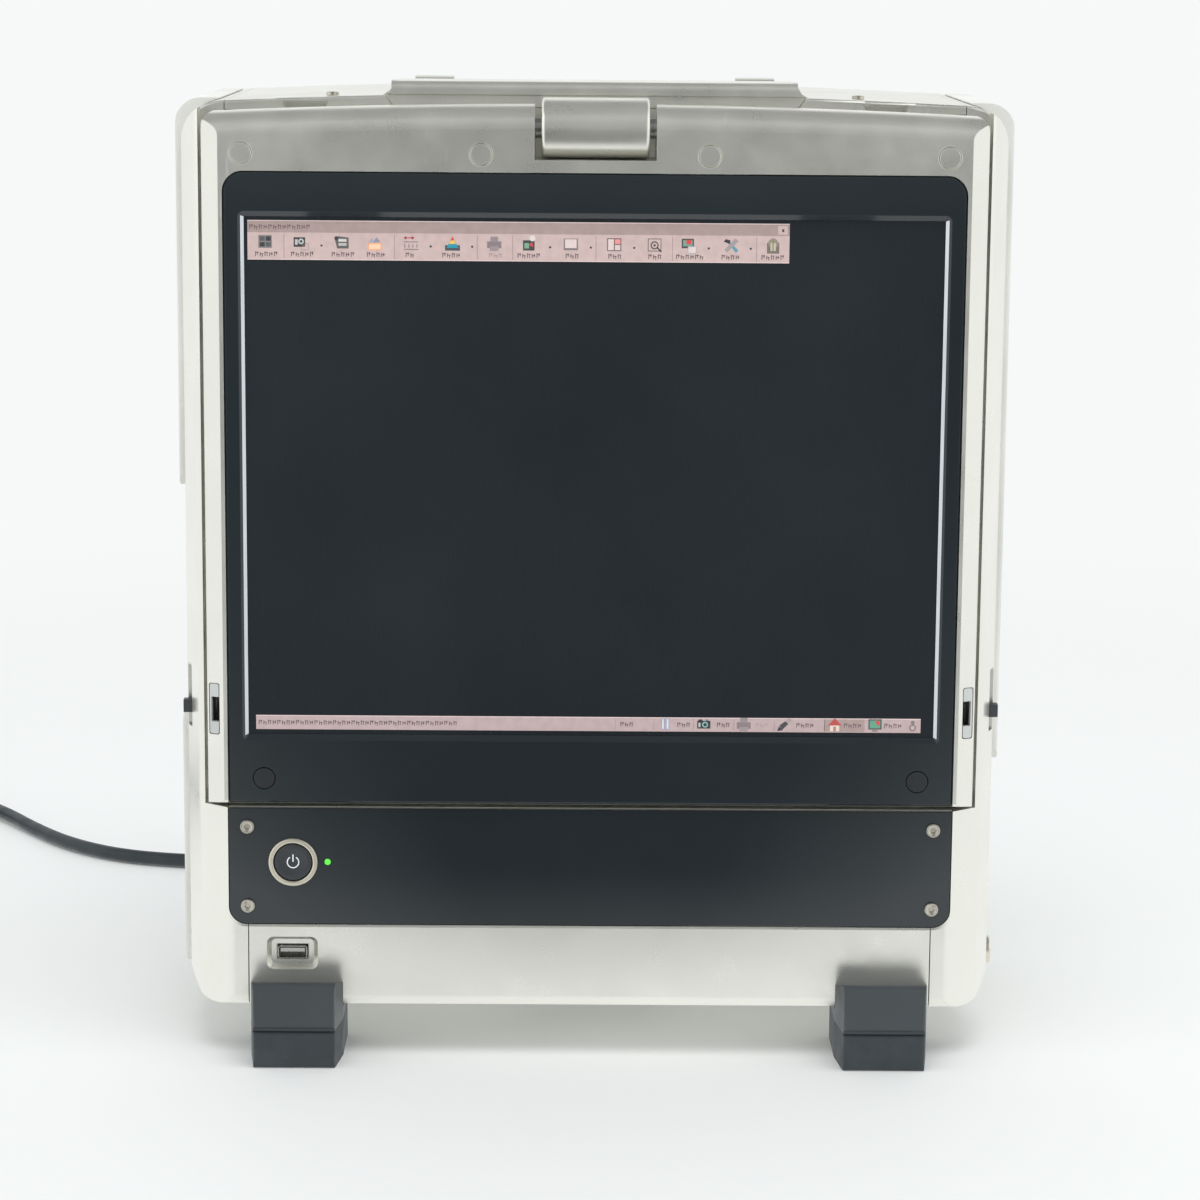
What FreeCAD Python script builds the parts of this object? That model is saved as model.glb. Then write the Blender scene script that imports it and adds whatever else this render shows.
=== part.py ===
import FreeCAD, Part
import math
import os

V = FreeCAD.Vector

# Digital microscope console. Millimetres, X to the right, Y to the back, Z up.
# The origin is on the floor, under the middle of the console's width and depth.

# Display, which sets the width and height of everything round it
display_width = 304.8
display_height = 228.6
display_reveal = 1.5
display_bevel = 2.6
display_depth = 10.0
display_margin_x = 10.5
display_margin_z = 12.0

# Screen unit
panel_margin = 10.6
panel_rim = 9.4
panel_drop = 30.0
panel_corner = 9.0
panel_thickness = 2.3
panel_chamfer = 0.8
panel_lift = 0.3
display_below = 35.7
display_above = 51.3
monitor_thickness = 21.0
monitor_gap = 2.0
monitor_bevel_width = 7.4
monitor_bevel_depth = 3.0
monitor_corner = 7.0
monitor_foot_slant = 2.6
monitor_lift = 0.4
monitor_crown_radius = 3400.0
monitor_wall = 2.2
shell_depth = 17.8
cap_radius = 4.7
cap_hole_chamfer = 0.5
low_cap_rise = 14.0
low_cap_inset = 5.4
top_cap_drop = 22.0
top_cap_inner_x = 50.0
top_cap_outset = 2.6

# Screen hinge
notch_width = 53.4
notch_depth = 24.2
barrel_side_gap = 3.1
barrel_radius = 13.2
shaft_radius = 4.6
knuckle_length = 17.3
knuckle_height = 26.0
knuckle_foot = 22.0
running_gap = 0.08

# Cabinet
cabinet_depth = 168.0
foot_height = 23.0
lower_height = 92.6
crown_above_screen = 3.9
step_depth = 20.0
recess_gap = 2.4
cheek_width = 10.2
cheek_front_inset = 22.0
cheek_knee_inset = 8.0
cheek_knee_depth = 10.5
cheek_depth = 33.0
wall = 2.5
seam = 0.4
clearance = 0.3
seat = 0.2
crown_radius = 3300.0
top_corner_radius = 21.0
bottom_corner_radius = 15.0
rear_corner_radius = 12.0
ledge_radius = 1.5
roof_edge_radius = 1.2
top_seam_inset = 21.0
bottom_seam_inset = 30.0
top_band = 8.1
top_wrap = 21.0

# Lower fascia and what it carries
fascia_inset = 21.5
fascia_bottom = 38.5
fascia_thickness = 2.5
fascia_recess = 0.8
fascia_rim = 0.9
fascia_corner = 8.0
fascia_screw_inset_x = 8.3
fascia_screw_inset = 8.4
fascia_screw_radius = 3.15
button_inset = 50.4
button_rise = 28.9
ring_radius = 11.1
ring_bore = 8.9
button_radius = 8.55
button_travel = 2.0
status_light_offset = 15.6
status_light_radius = 1.35

# USB socket in the bottom front panel
usb_inset = 49.8
usb_rise = 24.9
usb_recess_width = 23.2
usb_recess_height = 15.1
usb_recess_depth = 2.6
usb_surround = 0.65
usb_shell_wall = 0.4
usb_mouth_width = 12.5
usb_mouth_height = 5.2
usb_depth = 14.0

# Carrying handle
grip_width = 184.6
grip_depth = 24.4
grip_rise = 5.5
grip_proud = 0.8
grip_drop = 6.2
end_gap = 0.6
well_gap = 1.7
arm_inset = 18.3
arm_width = 18.0
handle_pivot_back = 80.0
handle_pivot_drop = 3.5
arm_end_radius = 8.5
pin_radius = 3.0
well_back = 14.0
well_depth = 12.6
pocket_gap = 25.1
pocket_width = 20.6
pocket_drop = 4.3
top_screw_gap = 24.7

# Latches in the cabinet's forward corners
latch_rise = 41.0
latch_back = 8.0
latch_travel = 8.0
latch_slot_width = 7.2
latch_slot_length = 29.0
knob_width = 6.0
knob_height = 6.0
knob_reach = 1.0
slide_inset = 6.6
slide_thickness = 2.2
slide_width = 13.0
tongue_inset = 5.2
tongue_thickness = 2.4
tongue_height = 8.0
spring_radius = 3.0
spring_wire = 0.7
spring_turns = 6
spring_room = 25.0

# Raised covers on the side casings
cover_proud = 3.0
cover_setback = 19.0
cover_back_inset = 15.0
cover_top_drop = 3.7
cover_top_corner = 12.0
cover_top_inset = 17.0
cover_corner = 6.0
upper_cover_low = 140.9
right_cover_low = 15.4
lower_cover_high = 35.4
lower_cover_rise = 9.0
vent_pitch = 9.0
vent_height = 3.0

# Feet
front_foot_width = 42.0
front_foot_inset = 51.8
foot_reach = 22.0
foot_rise = 40.0
foot_slope = 6.0
foot_back = 31.0
foot_taper = 2.8
foot_corner = 2.0
pad_height = 16.8
pad_round = 2.5
groove_height = 1.7
groove_depth = 1.8
rear_foot_depth = 34.0
rear_foot_inset = 14.0

# Inside
sheet = 2.0
upright_inset = 27.0
upright_drop = 17.7
card_y = 20.0
card_tray_rise = 85.0
card_tray_drop = 44.5
board_thickness = 1.6
standoff = 4.0
main_board_size = 244.0
main_board_inset = 22.0
main_board_rise = 94.0
camera_board_width = 156.0
camera_board_height = 126.0
camera_board_rise = 112.0
drive_width = 147.0
drive_depth = 101.6
drive_height = 26.0
supply_depth = 103.0
supply_height = 62.0
supply_gap = 4.0
bay_gap = 6.0
lamp_width = 36.7
lamp_depth = 68.5
lamp_height = 40.0
fan_size = 80.0
fan_depth = 25.0
fan_inset = 97.0
fan_drop = 122.5
fan_blades = 7
fan_hub_radius = 17.0
inlet_inset = 75.0
inlet_rise = 42.0
rocker_gap = 48.0
connector_rise = 150.0
connector_inset = 39.0
port_back = 48.0
port_rise = 15.0
port_radius = 6.6
port_bore = 4.5
camera_port_back = 95.0
camera_port_rise = 32.0
camera_port_radius = 12.0

# Mains lead
cord_diameter = 7.4
lead_stub = 31.0
tail_stub = 37.0
coil_outer_turn = 51.8
coil_inner_turn = 29.6
coil_centre = (-410.4, 379.2)
tie_thickness = 0.8
tie_width = 9.0

# Places that follow from the sizes above
panel_width = display_width + 2 * panel_margin
monitor_width = panel_width + 2 * panel_rim
monitor_height = display_below + display_height + display_above
recess_half = monitor_width / 2 + recess_gap
half_width = recess_half + cheek_width
back_y = (cabinet_depth + foot_reach) / 2
low_y = back_y - cabinet_depth
up_y = low_y + step_depth
floor_z = foot_height
ledge_z = floor_z + lower_height
monitor_z = ledge_z + monitor_lift
monitor_top_z = monitor_z + monitor_height
top_z = monitor_top_z + crown_above_screen
inner_back_y = back_y - wall
inner_up_y = up_y + wall
top_seam_x = half_width - top_seam_inset
bottom_seam_x = half_width - bottom_seam_inset
fascia_half = half_width - fascia_inset
fascia_z = floor_z + fascia_bottom
fascia_top_z = ledge_z - seam
fascia_screw_x = fascia_half - fascia_screw_inset_x
button_x = button_inset - half_width
button_z = fascia_z + button_rise
status_light_x = button_x + status_light_offset
usb_x = usb_inset - half_width
usb_z = floor_z + usb_rise
usb_shell_width = usb_mouth_width + 2 * usb_shell_wall
usb_shell_height = usb_mouth_height + 2 * usb_shell_wall
monitor_back_y = up_y - monitor_gap
monitor_front_y = monitor_back_y - monitor_thickness
nose_radius = monitor_thickness / 2
pivot_y = (monitor_front_y + monitor_back_y) / 2
pivot_z = monitor_top_z - nose_radius
split_y = monitor_front_y + shell_depth
panel_z = monitor_z + monitor_foot_slant + panel_lift
panel_top_z = monitor_top_z - panel_drop
display_z = monitor_z + display_below + display_height / 2
display_y = monitor_front_y + 0.1 + panel_thickness + seat
low_cap_x = display_width / 2 - low_cap_inset
top_cap_x = (top_cap_inner_x, display_width / 2 + top_cap_outset)
barrel_width = notch_width - 2 * barrel_side_gap
shaft_half = notch_width / 2 + knuckle_length
well_width = grip_width + 2 * well_gap
arm_x = grip_width / 2 - arm_inset
well_floor_z = top_z - well_depth
grip_low_z = top_z - grip_drop
handle_y = up_y + handle_pivot_back
handle_z = top_z - handle_pivot_drop
well_back_y = handle_y + well_back
pocket_x = grip_width / 2 + end_gap + pocket_gap + pocket_width / 2
top_screw_x = grip_width / 2 + top_screw_gap
latch_height = monitor_z + latch_rise
latch_y = up_y + latch_back
slide_x = half_width - slide_inset
slide_y = inner_up_y + clearance
tongue_x = monitor_width / 2 - tongue_inset
spring_x = slide_x - slide_thickness - clearance - spring_radius
rib_stop_z = latch_height + 19 + spring_room
cover_front = up_y + cover_setback
cover_back = back_y - cover_back_inset
cover_top_z = top_z - cover_top_drop
cover_spans = {
    "upper_side_cover_left": (-1, ledge_z + upper_cover_low, cover_top_z),
    "lower_side_cover_left": (-1, floor_z + lower_cover_rise, ledge_z + lower_cover_high),
    "side_cover_right": (1, ledge_z + right_cover_low, cover_top_z),
}
front_foot_x = half_width - front_foot_inset
upright_x = half_width - upright_inset
chassis_z = floor_z + wall + clearance
tray_top_z = chassis_z + sheet
supply_x = supply_gap + sheet - upright_x
lamp_x = upright_x - sheet - clearance - lamp_width
drive_x = lamp_x - bay_gap - drive_width
supply_width = drive_x - bay_gap - supply_x
upright_top_z = top_z - upright_drop
fan_x = half_width - fan_inset
fan_z = top_z - fan_drop
inlet_x = inlet_inset - half_width
inlet_z = floor_z + inlet_rise
rocker_x = inlet_x + rocker_gap
port_y = low_y + port_back
port_z = floor_z + port_rise
camera_port_y = low_y + camera_port_back
camera_port_z = floor_z + camera_port_rise
far = 600.0


# Building blocks

def box(x0, x1, y0, y1, z0, z1):
    return Part.makeBox(x1 - x0, y1 - y0, z1 - z0, V(x0, y0, z0))


def rod(axis, centre, radius, start, end):
    """A cylinder along one axis; centre gives the other two coordinates in X, Y, Z order."""
    base = {"x": V(start, centre[0], centre[1]),
            "y": V(centre[0], start, centre[1]),
            "z": V(centre[0], centre[1], start)}[axis]
    way = {"x": V(1, 0, 0), "y": V(0, 1, 0), "z": V(0, 0, 1)}[axis]
    return Part.makeCylinder(radius, end - start, base, way)


def outline(points, plane, level=0.0):
    """A face from corner points (a, b) or (a, b, radius), on the plane xy, xz or yz."""
    place = {"xy": lambda a, b: V(a, b, level),
             "xz": lambda a, b: V(a, level, b),
             "yz": lambda a, b: V(level, a, b)}[plane]
    corners = []
    for i, corner in enumerate(points):
        before = points[i - 1]
        after = points[(i + 1) % len(points)]
        radius = corner[2] if len(corner) > 2 else 0
        if radius <= 0:
            corners.append((corner[:2], None, corner[:2]))
            continue
        a = V(before[0] - corner[0], before[1] - corner[1], 0).normalize()
        b = V(after[0] - corner[0], after[1] - corner[1], 0).normalize()
        half = math.acos(max(-1.0, min(1.0, a.dot(b)))) / 2
        reach = radius / math.tan(half)
        middle = (a + b).normalize() * (radius / math.sin(half) - radius)
        corners.append(((corner[0] + a.x * reach, corner[1] + a.y * reach),
                        (corner[0] + middle.x, corner[1] + middle.y),
                        (corner[0] + b.x * reach, corner[1] + b.y * reach)))
    edges = []
    for i, (start, middle, end) in enumerate(corners):
        following = corners[(i + 1) % len(corners)][0]
        if middle:
            edges.append(Part.Arc(place(*start), place(*middle), place(*end)).toShape())
        if (place(*end) - place(*following)).Length > 1e-6:
            edges.append(Part.makeLine(place(*end), place(*following)))
    return Part.Face(Part.Wire(edges))


def prism(points, plane, start, end):
    """The outline of these points, swept along the axis that the plane leaves out."""
    way = {"xy": V(0, 0, 1), "xz": V(0, 1, 0), "yz": V(1, 0, 0)}[plane]
    return outline(points, plane, start).extrude(way * (end - start))


def rectangle(a0, a1, b0, b1, radius=0.0):
    return [(a0, b0, radius), (a1, b0, radius), (a1, b1, radius), (a0, b1, radius)]


def fuse(shapes):
    joined = shapes[0]
    for shape in shapes[1:]:
        joined = joined.fuse(shape)
    return joined.removeSplitter()


def mirror(shape):
    return shape.mirror(V(0, 0, 0), V(1, 0, 0))


def both_sides(shape):
    return Part.makeCompound([shape, mirror(shape)])


def sided(shape, side):
    """A shape drawn on the right side, or its mirror image on the left."""
    return shape if side > 0 else mirror(shape)


def save(name, shape):
    bad = [solid for solid in shape.Solids if not solid.isValid() or solid.Volume <= 0]
    if bad or not shape.Solids:
        print("check", name, len(shape.Solids), "solids,", len(bad), "not valid")
    if len(shape.Solids) == 1:
        shape = shape.Solids[0]
    shape.exportStep("parts/" + name + ".step")


# Cabinet

def crowned_front(inset):
    """The cabinet seen from the front: crowned top, rounded corners."""
    half = half_width - inset
    low = floor_z + inset
    top = top_z - inset
    crown = crown_radius - inset
    corner = top_corner_radius - inset
    base = bottom_corner_radius - inset
    centre_x = half - corner
    centre_z = top - crown + math.sqrt((crown - corner) ** 2 - centre_x ** 2)
    meet_x = centre_x * crown / (crown - corner)
    meet_z = top - crown + (centre_z - top + crown) * crown / (crown - corner)
    turn = math.atan2(meet_z - centre_z, meet_x - centre_x) / 2
    mid_x = centre_x + corner * math.cos(turn)
    mid_z = centre_z + corner * math.sin(turn)
    cut = base * (1 - math.sqrt(0.5))

    def point(x, z):
        return V(x, -far, z)

    edges = [
        Part.makeLine(point(base - half, low), point(half - base, low)),
        Part.Arc(point(half - base, low), point(half - cut, low + cut), point(half, low + base)).toShape(),
        Part.makeLine(point(half, low + base), point(half, centre_z)),
        Part.Arc(point(half, centre_z), point(mid_x, mid_z), point(meet_x, meet_z)).toShape(),
        Part.Arc(point(meet_x, meet_z), point(0, top), point(-meet_x, meet_z)).toShape(),
        Part.Arc(point(-meet_x, meet_z), point(-mid_x, mid_z), point(-half, centre_z)).toShape(),
        Part.makeLine(point(-half, centre_z), point(-half, low + base)),
        Part.Arc(point(-half, low + base), point(cut - half, low + cut), point(base - half, low)).toShape(),
    ]
    return Part.Face(Part.Wire(edges)).extrude(V(0, 2 * far, 0))


def cabinet_plan(inset):
    """The cabinet seen from above: flat front, cheeks that turn back in two steps, rounded rear corners."""
    right = [(half_width - cheek_front_inset, low_y, 6),
             (half_width - cheek_knee_inset, low_y + cheek_knee_depth, 12),
             (half_width, low_y + cheek_depth, 20),
             (half_width, back_y, rear_corner_radius)]
    left = [(-x, y, radius) for x, y, radius in reversed(right)]
    face = outline(right + left, "xy")
    if inset:
        face = face.makeOffset2D(-inset, join=2)
    return face.extrude(V(0, 0, far))


def cabinet_side(inset):
    """The cabinet seen from the side, with the rounded ledge under the screen unit."""
    step = low_y + 2 * ledge_radius + 1
    face = outline([(low_y, floor_z, 5), (low_y, ledge_z, ledge_radius), (step, ledge_z), (step, far - 50),
                    (back_y, far - 50), (back_y, floor_z, 5)], "yz", -far)
    if inset:
        face = face.makeOffset2D(-inset, join=2)
    return face.extrude(V(2 * far, 0, 0))


def screen_recess(grow):
    """The space between the cheeks, above the ledge, that the screen unit closes."""
    half = recess_half + grow
    return box(-half, half, -far, up_y + grow, ledge_z - grow, far)


def is_roof_front_edge(edge):
    """True for the crowned edge where the roof meets the wall behind the screen unit."""
    bounds = edge.BoundBox
    return bounds.ZMin > top_z - top_corner_radius and abs(bounds.YMax - up_y) < 0.01 and bounds.YLength < 0.01


def cabinet_form(inset):
    """The closed cabinet as one solid; an inset gives the space inside its walls."""
    form = crowned_front(inset).common(cabinet_plan(inset)).common(cabinet_side(inset))
    form = form.cut(screen_recess(inset))
    if inset:
        return form
    return form.makeFillet(roof_edge_radius, [edge for edge in form.Edges if is_roof_front_edge(edge)])


def fascia_opening():
    """What is cut round the fascia: its outline, opened outwards to a narrow sloped rim."""
    hole = prism(fascia_outline(seam), "xz", low_y - 5, low_y + wall + 2)
    wide = outline(fascia_outline(seam + fascia_rim), "xz", low_y - 0.01)
    narrow = outline(fascia_outline(seam), "xz", low_y + fascia_recess)
    return hole, Part.makeLoft([wide.OuterWire, narrow.OuterWire], True)


def fascia_outline(grow):
    half = fascia_half + grow
    radius = fascia_corner + grow
    return [(-half, fascia_z - grow, radius), (half, fascia_z - grow, radius),
            (half, fascia_top_z + grow), (-half, fascia_top_z + grow)]


def side_region():
    """Everything outside the seams on the right: nearer the middle below the fascia's top edge."""
    low = box(bottom_seam_x + seam / 2, far, -far, far, 0, ledge_z)
    high = box(top_seam_x + seam / 2, far, -far, far, ledge_z - 2 * wall, far)
    hole, rim = fascia_opening()
    rear = box(0, top_seam_x + seam / 2, low_y + 60, far, fascia_z, far)
    ledge = box(0, top_seam_x + seam / 2, low_y + wall, far, ledge_z - wall - seam, far)
    return low.cut(hole).cut(rim).cut(rear).cut(ledge).fuse(high)


def latch_slots():
    """The knob's slot in the forward corner and the tongue's slot in the front wall, on the right."""
    half = latch_slot_width / 2
    low = latch_height - knob_height / 2 - 6.5
    slot = prism(rectangle(latch_y - half, latch_y + half, low, low + latch_slot_length, 1.2), "yz",
                 slide_x - 0.5, half_width + 5)
    half = tongue_thickness / 2 + 0.8
    tongue = box(tongue_x - half, tongue_x + half, up_y - 5, inner_up_y + 2,
                 latch_height - tongue_height / 2 - 1.5,
                 latch_height + tongue_height / 2 + latch_travel + 1.5)
    return slot.fuse(tongue)


def casing_ribs(inner):
    """Ribs moulded inside a side casing: shelves against the chassis, and the latch's guide and stop."""
    start = upright_x + clearance
    ribs = []
    for part in (0.23, 0.545, 0.8):
        z = floor_z + part * (top_z - floor_z)
        ribs.append(box(start, far, up_y + 19, inner_back_y - 12, z, z + wall))
    guide = slide_y + slide_width + clearance
    stop = rib_stop_z + wall
    ribs.append(box(slide_x - slide_thickness - 3, far, guide, guide + wall, latch_height - 18, stop))
    ribs.append(box(spring_x - spring_radius - 2, far, slide_y, guide + 0.1, rib_stop_z, stop))
    return fuse(ribs).common(inner)


def side_casing(shell, inner, side):
    casing = fuse([shell.common(side_region()), casing_ribs(inner)]).cut(latch_slots())
    if side > 0:
        casing = casing.cut(rod("x", (port_y, port_z), port_radius + clearance, upright_x, far))
        casing = casing.cut(rod("x", (camera_port_y, camera_port_z), camera_port_radius + clearance,
                                upright_x, far))
    return sided(casing, side)


def side_cover(low, high):
    """A raised cover panel with softened edges, on the right side."""
    start = half_width + seat
    plate = prism(rectangle(cover_front, cover_back, low, high, cover_corner), "yz", start,
                  half_width + cover_proud)
    rim = [edge for edge in plate.Edges if edge.BoundBox.XMin > start + 0.1]
    return plate.makeFillet(1.2, rim)


def wrapped_cover(low, high):
    """A raised cover panel that also turns over the cabinet's top corner, on the right side."""
    outside = half_width + cover_proud
    end = half_width - cover_top_inset
    section = prism([(end, low), (outside, low, 1.2), (outside, high, cover_top_corner), (end, high)], "xz",
                    cover_front, cover_back)
    plan = prism([(0, cover_front), (outside, cover_front, 1.2), (outside, cover_back, 1.2), (0, cover_back)],
                 "xy", 0, far)
    side = prism(rectangle(cover_front, cover_back, low, far, cover_corner), "yz", 0, far)
    return section.cut(crowned_front(-seat)).common(plan).common(side)


def vented(cover, low, high):
    """Rows of ventilation slots through a side cover."""
    rows = int((high - low - 30) // vent_pitch)
    for row in range(rows):
        z = low + 15 + vent_pitch * row
        cover = cover.cut(box(half_width - 2, far, cover_front + 24, cover_back - 16, z, z + vent_height))
    return cover


def handle_well():
    """The block in the top casing that the handle's well is sunk into, and the well itself."""
    half = well_width / 2
    block = box(-half - wall, half + wall, up_y, well_back_y + wall, well_floor_z - wall, far)
    hollow = box(-half, half, inner_up_y, well_back_y, well_floor_z, far)
    return block, hollow


def pin_bosses():
    """The ears on each side of an arm end, on the right, with the pin's bore through them."""
    inside = arm_x - arm_width / 2 - clearance
    outside = arm_x + arm_width / 2 + clearance
    ears = []
    for start, end in ((inside - 6, inside), (outside, well_width / 2)):
        profile = [(handle_y - 7, well_floor_z), (handle_y - 7, handle_z + 6.5, 6.4),
                   (handle_y + 7, handle_z + 6.5, 6.4), (handle_y + 7, well_floor_z)]
        ears.append(prism(profile, "yz", start, end))
    bore = rod("x", (handle_y, handle_z), pin_radius + running_gap, inside - 7, well_width / 2)
    return ears, bore


def finger_pockets(form):
    """A shallow pocket in the front band on the right, with the block that it is cut from."""
    start = pocket_x - pocket_width / 2
    end = pocket_x + pocket_width / 2
    block = box(start - wall, end + wall, inner_up_y + clearance, up_y + 9, top_z - 11, far).common(form)
    shallow = box(start, end, up_y - 5, up_y + 1.5, top_z - 20, top_z - pocket_drop)
    slot = box(start + 1, end - 1, up_y - 5, up_y + 6, top_z - 7.4, top_z - 5.2)
    return block, shallow.fuse(slot)


def top_casing(shell, form):
    edge = top_seam_x - seam / 2
    region = box(-edge, edge, up_y - 5, far, top_z - top_band, far)
    region = region.fuse(box(-edge, edge, inner_up_y + 0.1, far, top_z - top_wrap, far))
    block, hollow = handle_well()
    ears, bore = pin_bosses()
    pocket_block, pocket = finger_pockets(form)
    casing = fuse([shell.common(region), block.common(form), pocket_block, mirror(pocket_block)])
    casing = casing.cut(hollow).cut(pocket).cut(mirror(pocket))
    casing = fuse([casing] + ears + [mirror(ear) for ear in ears])
    casing = casing.cut(bore).cut(mirror(bore)).cut(barrel_relief())
    casing = casing.cut(prism(grip_ends(end_gap, grip_low_z - clearance), "xz", -far, inner_up_y + 0.1))
    hole = rod("z", (screw_place()), 1.7, top_z - 20, far)
    return casing.cut(hole).cut(mirror(hole))


def grip_ends(grow, low):
    """The grip seen from the front: its ends swell to the roof's height and are rounded at the top."""
    half = grip_width / 2 + grow
    high = top_z + grip_rise + 0.2 + 2 * grow
    return [(3.3 - half, low), (half - 3.3, low), (half, top_z - 1.8, 1.5), (half - 4.4, high, 4.5),
            (4.4 - half, high, 4.5), (-half, top_z - 1.8, 1.5)]


def barrel_relief():
    """The hollow in the cabinet's front wall that the hinge barrel sits against."""
    half = barrel_width / 2 + 0.6
    return rod("x", (pivot_y, pivot_z), barrel_radius + clearance, -half, half)


def screw_place():
    return (top_screw_x, up_y + 14.0)


def front_bulkhead(shell):
    """The wall behind the screen unit and the ledge under it, in one moulding."""
    edge = top_seam_x - seam / 2
    region = box(-edge, edge, low_y + fascia_thickness + fascia_recess + clearance, inner_up_y,
                 ledge_z - wall - 0.1, top_z - top_band - seam)
    plate = shell.common(region)
    half = barrel_width / 2 - 2
    arm = box(-half, half, up_y - 5, up_y + 10, pivot_z - 12, far)
    under_well = well_floor_z - wall - seam
    well = box(-well_width / 2 - wall - seam, well_width / 2 + wall + seam, -far, far, under_well, far)
    rim = box(-half - 2, half + 2, up_y, up_y + 6, pivot_z - 14, under_well)
    stiffeners = []
    for place in range(-2, 3):
        x = place * (top_seam_x - 44) / 2
        stiffeners.append(box(x - 1, x + 1, inner_up_y - 0.1, inner_up_y + 8, ledge_z + 20, top_z - 60))
    return fuse([plate.cut(well), rim] + stiffeners).cut(arm).cut(barrel_relief())


def bottom_front_panel(shell):
    edge = bottom_seam_x - seam / 2
    panel = shell.common(box(-edge, edge, -far, up_y + 10, 0, fascia_z - seam)).cut(fascia_opening()[1])
    half_w = usb_recess_width / 2
    half_h = usb_recess_height / 2
    floor_y = low_y + usb_recess_depth
    pocket = box(usb_x - half_w - 2, usb_x + half_w + 2, low_y + 0.2, floor_y + 3,
                 usb_z - half_h - 2, usb_z + half_h + 2)
    mouth = outline(rectangle(usb_x - half_w, usb_x + half_w, usb_z - half_h, usb_z + half_h, 3.2),
                    "xz", low_y - 0.01)
    floor = outline(rectangle(usb_x - half_w + 2, usb_x + half_w - 2, usb_z - half_h + 1.6,
                              usb_z + half_h - 1.6, 2.0), "xz", floor_y)
    recess = Part.makeLoft([mouth.OuterWire, floor.OuterWire], True)
    half_w = usb_shell_width / 2
    half_h = usb_shell_height / 2
    wide = box(usb_x - half_w - usb_surround, usb_x + half_w + usb_surround, low_y, floor_y + 1.5,
               usb_z - half_h - usb_surround, usb_z + half_h + usb_surround)
    snug = box(usb_x - half_w - clearance, usb_x + half_w + clearance, low_y, floor_y + 5,
               usb_z - half_h - clearance, usb_z + half_h + clearance)
    return panel.fuse(pocket).cut(recess).cut(wide).cut(snug).removeSplitter()


def base_plate(shell):
    edge = bottom_seam_x - seam / 2
    plate = shell.common(box(-edge, edge, up_y + 10 + seam, far, 0, floor_z + 5.2))
    for x in (-20.0, 20.0):
        for row in range(8):
            y = -20.0 + 11 * row
            plate = plate.cut(box(x - 16, x + 16, y, y + 4, 0, floor_z + 4))
    return plate


def rear_screw_places():
    wide = top_seam_x - 9
    narrow = bottom_seam_x - 4
    middle = floor_z + 0.485 * (top_z - floor_z)
    return [(-wide, top_z - 32), (wide, top_z - 32), (-wide, middle), (wide, middle),
            (-narrow, floor_z + 14), (narrow, floor_z + 14)]


def rear_cover():
    """Flat rear plate with the fan's opening, vents and the holes for switch, inlet and sockets."""
    wide = top_seam_x - seam / 2
    narrow = bottom_seam_x - seam / 2
    low = floor_z + 5.2 + seam
    high = top_z - top_wrap - seam
    points = [(-narrow, low), (narrow, low), (narrow, fascia_z), (wide, fascia_z), (wide, high),
              (-wide, high), (-wide, fascia_z), (-narrow, fascia_z)]
    plate = prism(points, "xz", inner_back_y, back_y)
    plate = plate.cut(rod("y", (fan_x, fan_z), fan_size / 2 - 1.5, 0, far))
    for column in range(13):
        x = 45 - half_width + 11 * column
        plate = plate.cut(box(x, x + 4, 0, far, fan_z + 10, fan_z + 80))
    for column in range(9):
        x = half_width - 133 + 11 * column
        plate = plate.cut(box(x, x + 4, 0, far, floor_z + 60, floor_z + 120))
    plate = plate.cut(box(*inlet_hole(clearance)))
    plate = plate.cut(box(*rocker_hole(clearance)))
    for x0, x1, z0, z1 in connector_holes():
        plate = plate.cut(box(x0, x1, 0, far, z0, z1))
    for place in rear_screw_places():
        plate = plate.cut(rod("y", place, 1.7, 0, far))
    return plate


def inlet_hole(grow):
    return (inlet_x - 14 - grow, inlet_x + 14 + grow, inner_back_y - 5, back_y + 5,
            inlet_z - 10.5 - grow, inlet_z + 10.5 + grow)


def rocker_hole(grow):
    return (rocker_x - 7 - grow, rocker_x + 7 + grow, inner_back_y - 5, back_y + 5,
            inlet_z - 10.5 - grow, inlet_z + 10.5 + grow)


def connector_holes():
    """Openings for two stacked USB sockets, a network socket, a video socket and a serial socket."""
    x = connector_inset - half_width
    z = floor_z + connector_rise
    return [(x, x + 16, z, z + 16), (x + 24, x + 41, z, z + 14.5), (x + 50, x + 88, z, z + 12),
            (x + 98, x + 129, z, z + 12)]


def fascia():
    """Glossy lower fascia with holes for the button's ring, the status light and its screws."""
    front = low_y + fascia_recess
    plate = prism(fascia_outline(0), "xz", front, front + fascia_thickness)
    plate = plate.cut(rod("y", (button_x, button_z), ring_radius - 1 + clearance, -far, 0))
    plate = plate.cut(rod("y", (status_light_x, button_z), status_light_radius + 0.1, -far, 0))
    for place in fascia_screw_places():
        plate = plate.cut(rod("y", place, 1.7, -far, 0))
    return plate


def fascia_screw_places():
    low = fascia_z + fascia_screw_inset
    high = fascia_top_z - fascia_screw_inset
    return [(side * fascia_screw_x, z) for side in (-1, 1) for z in (low, high)]


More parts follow.
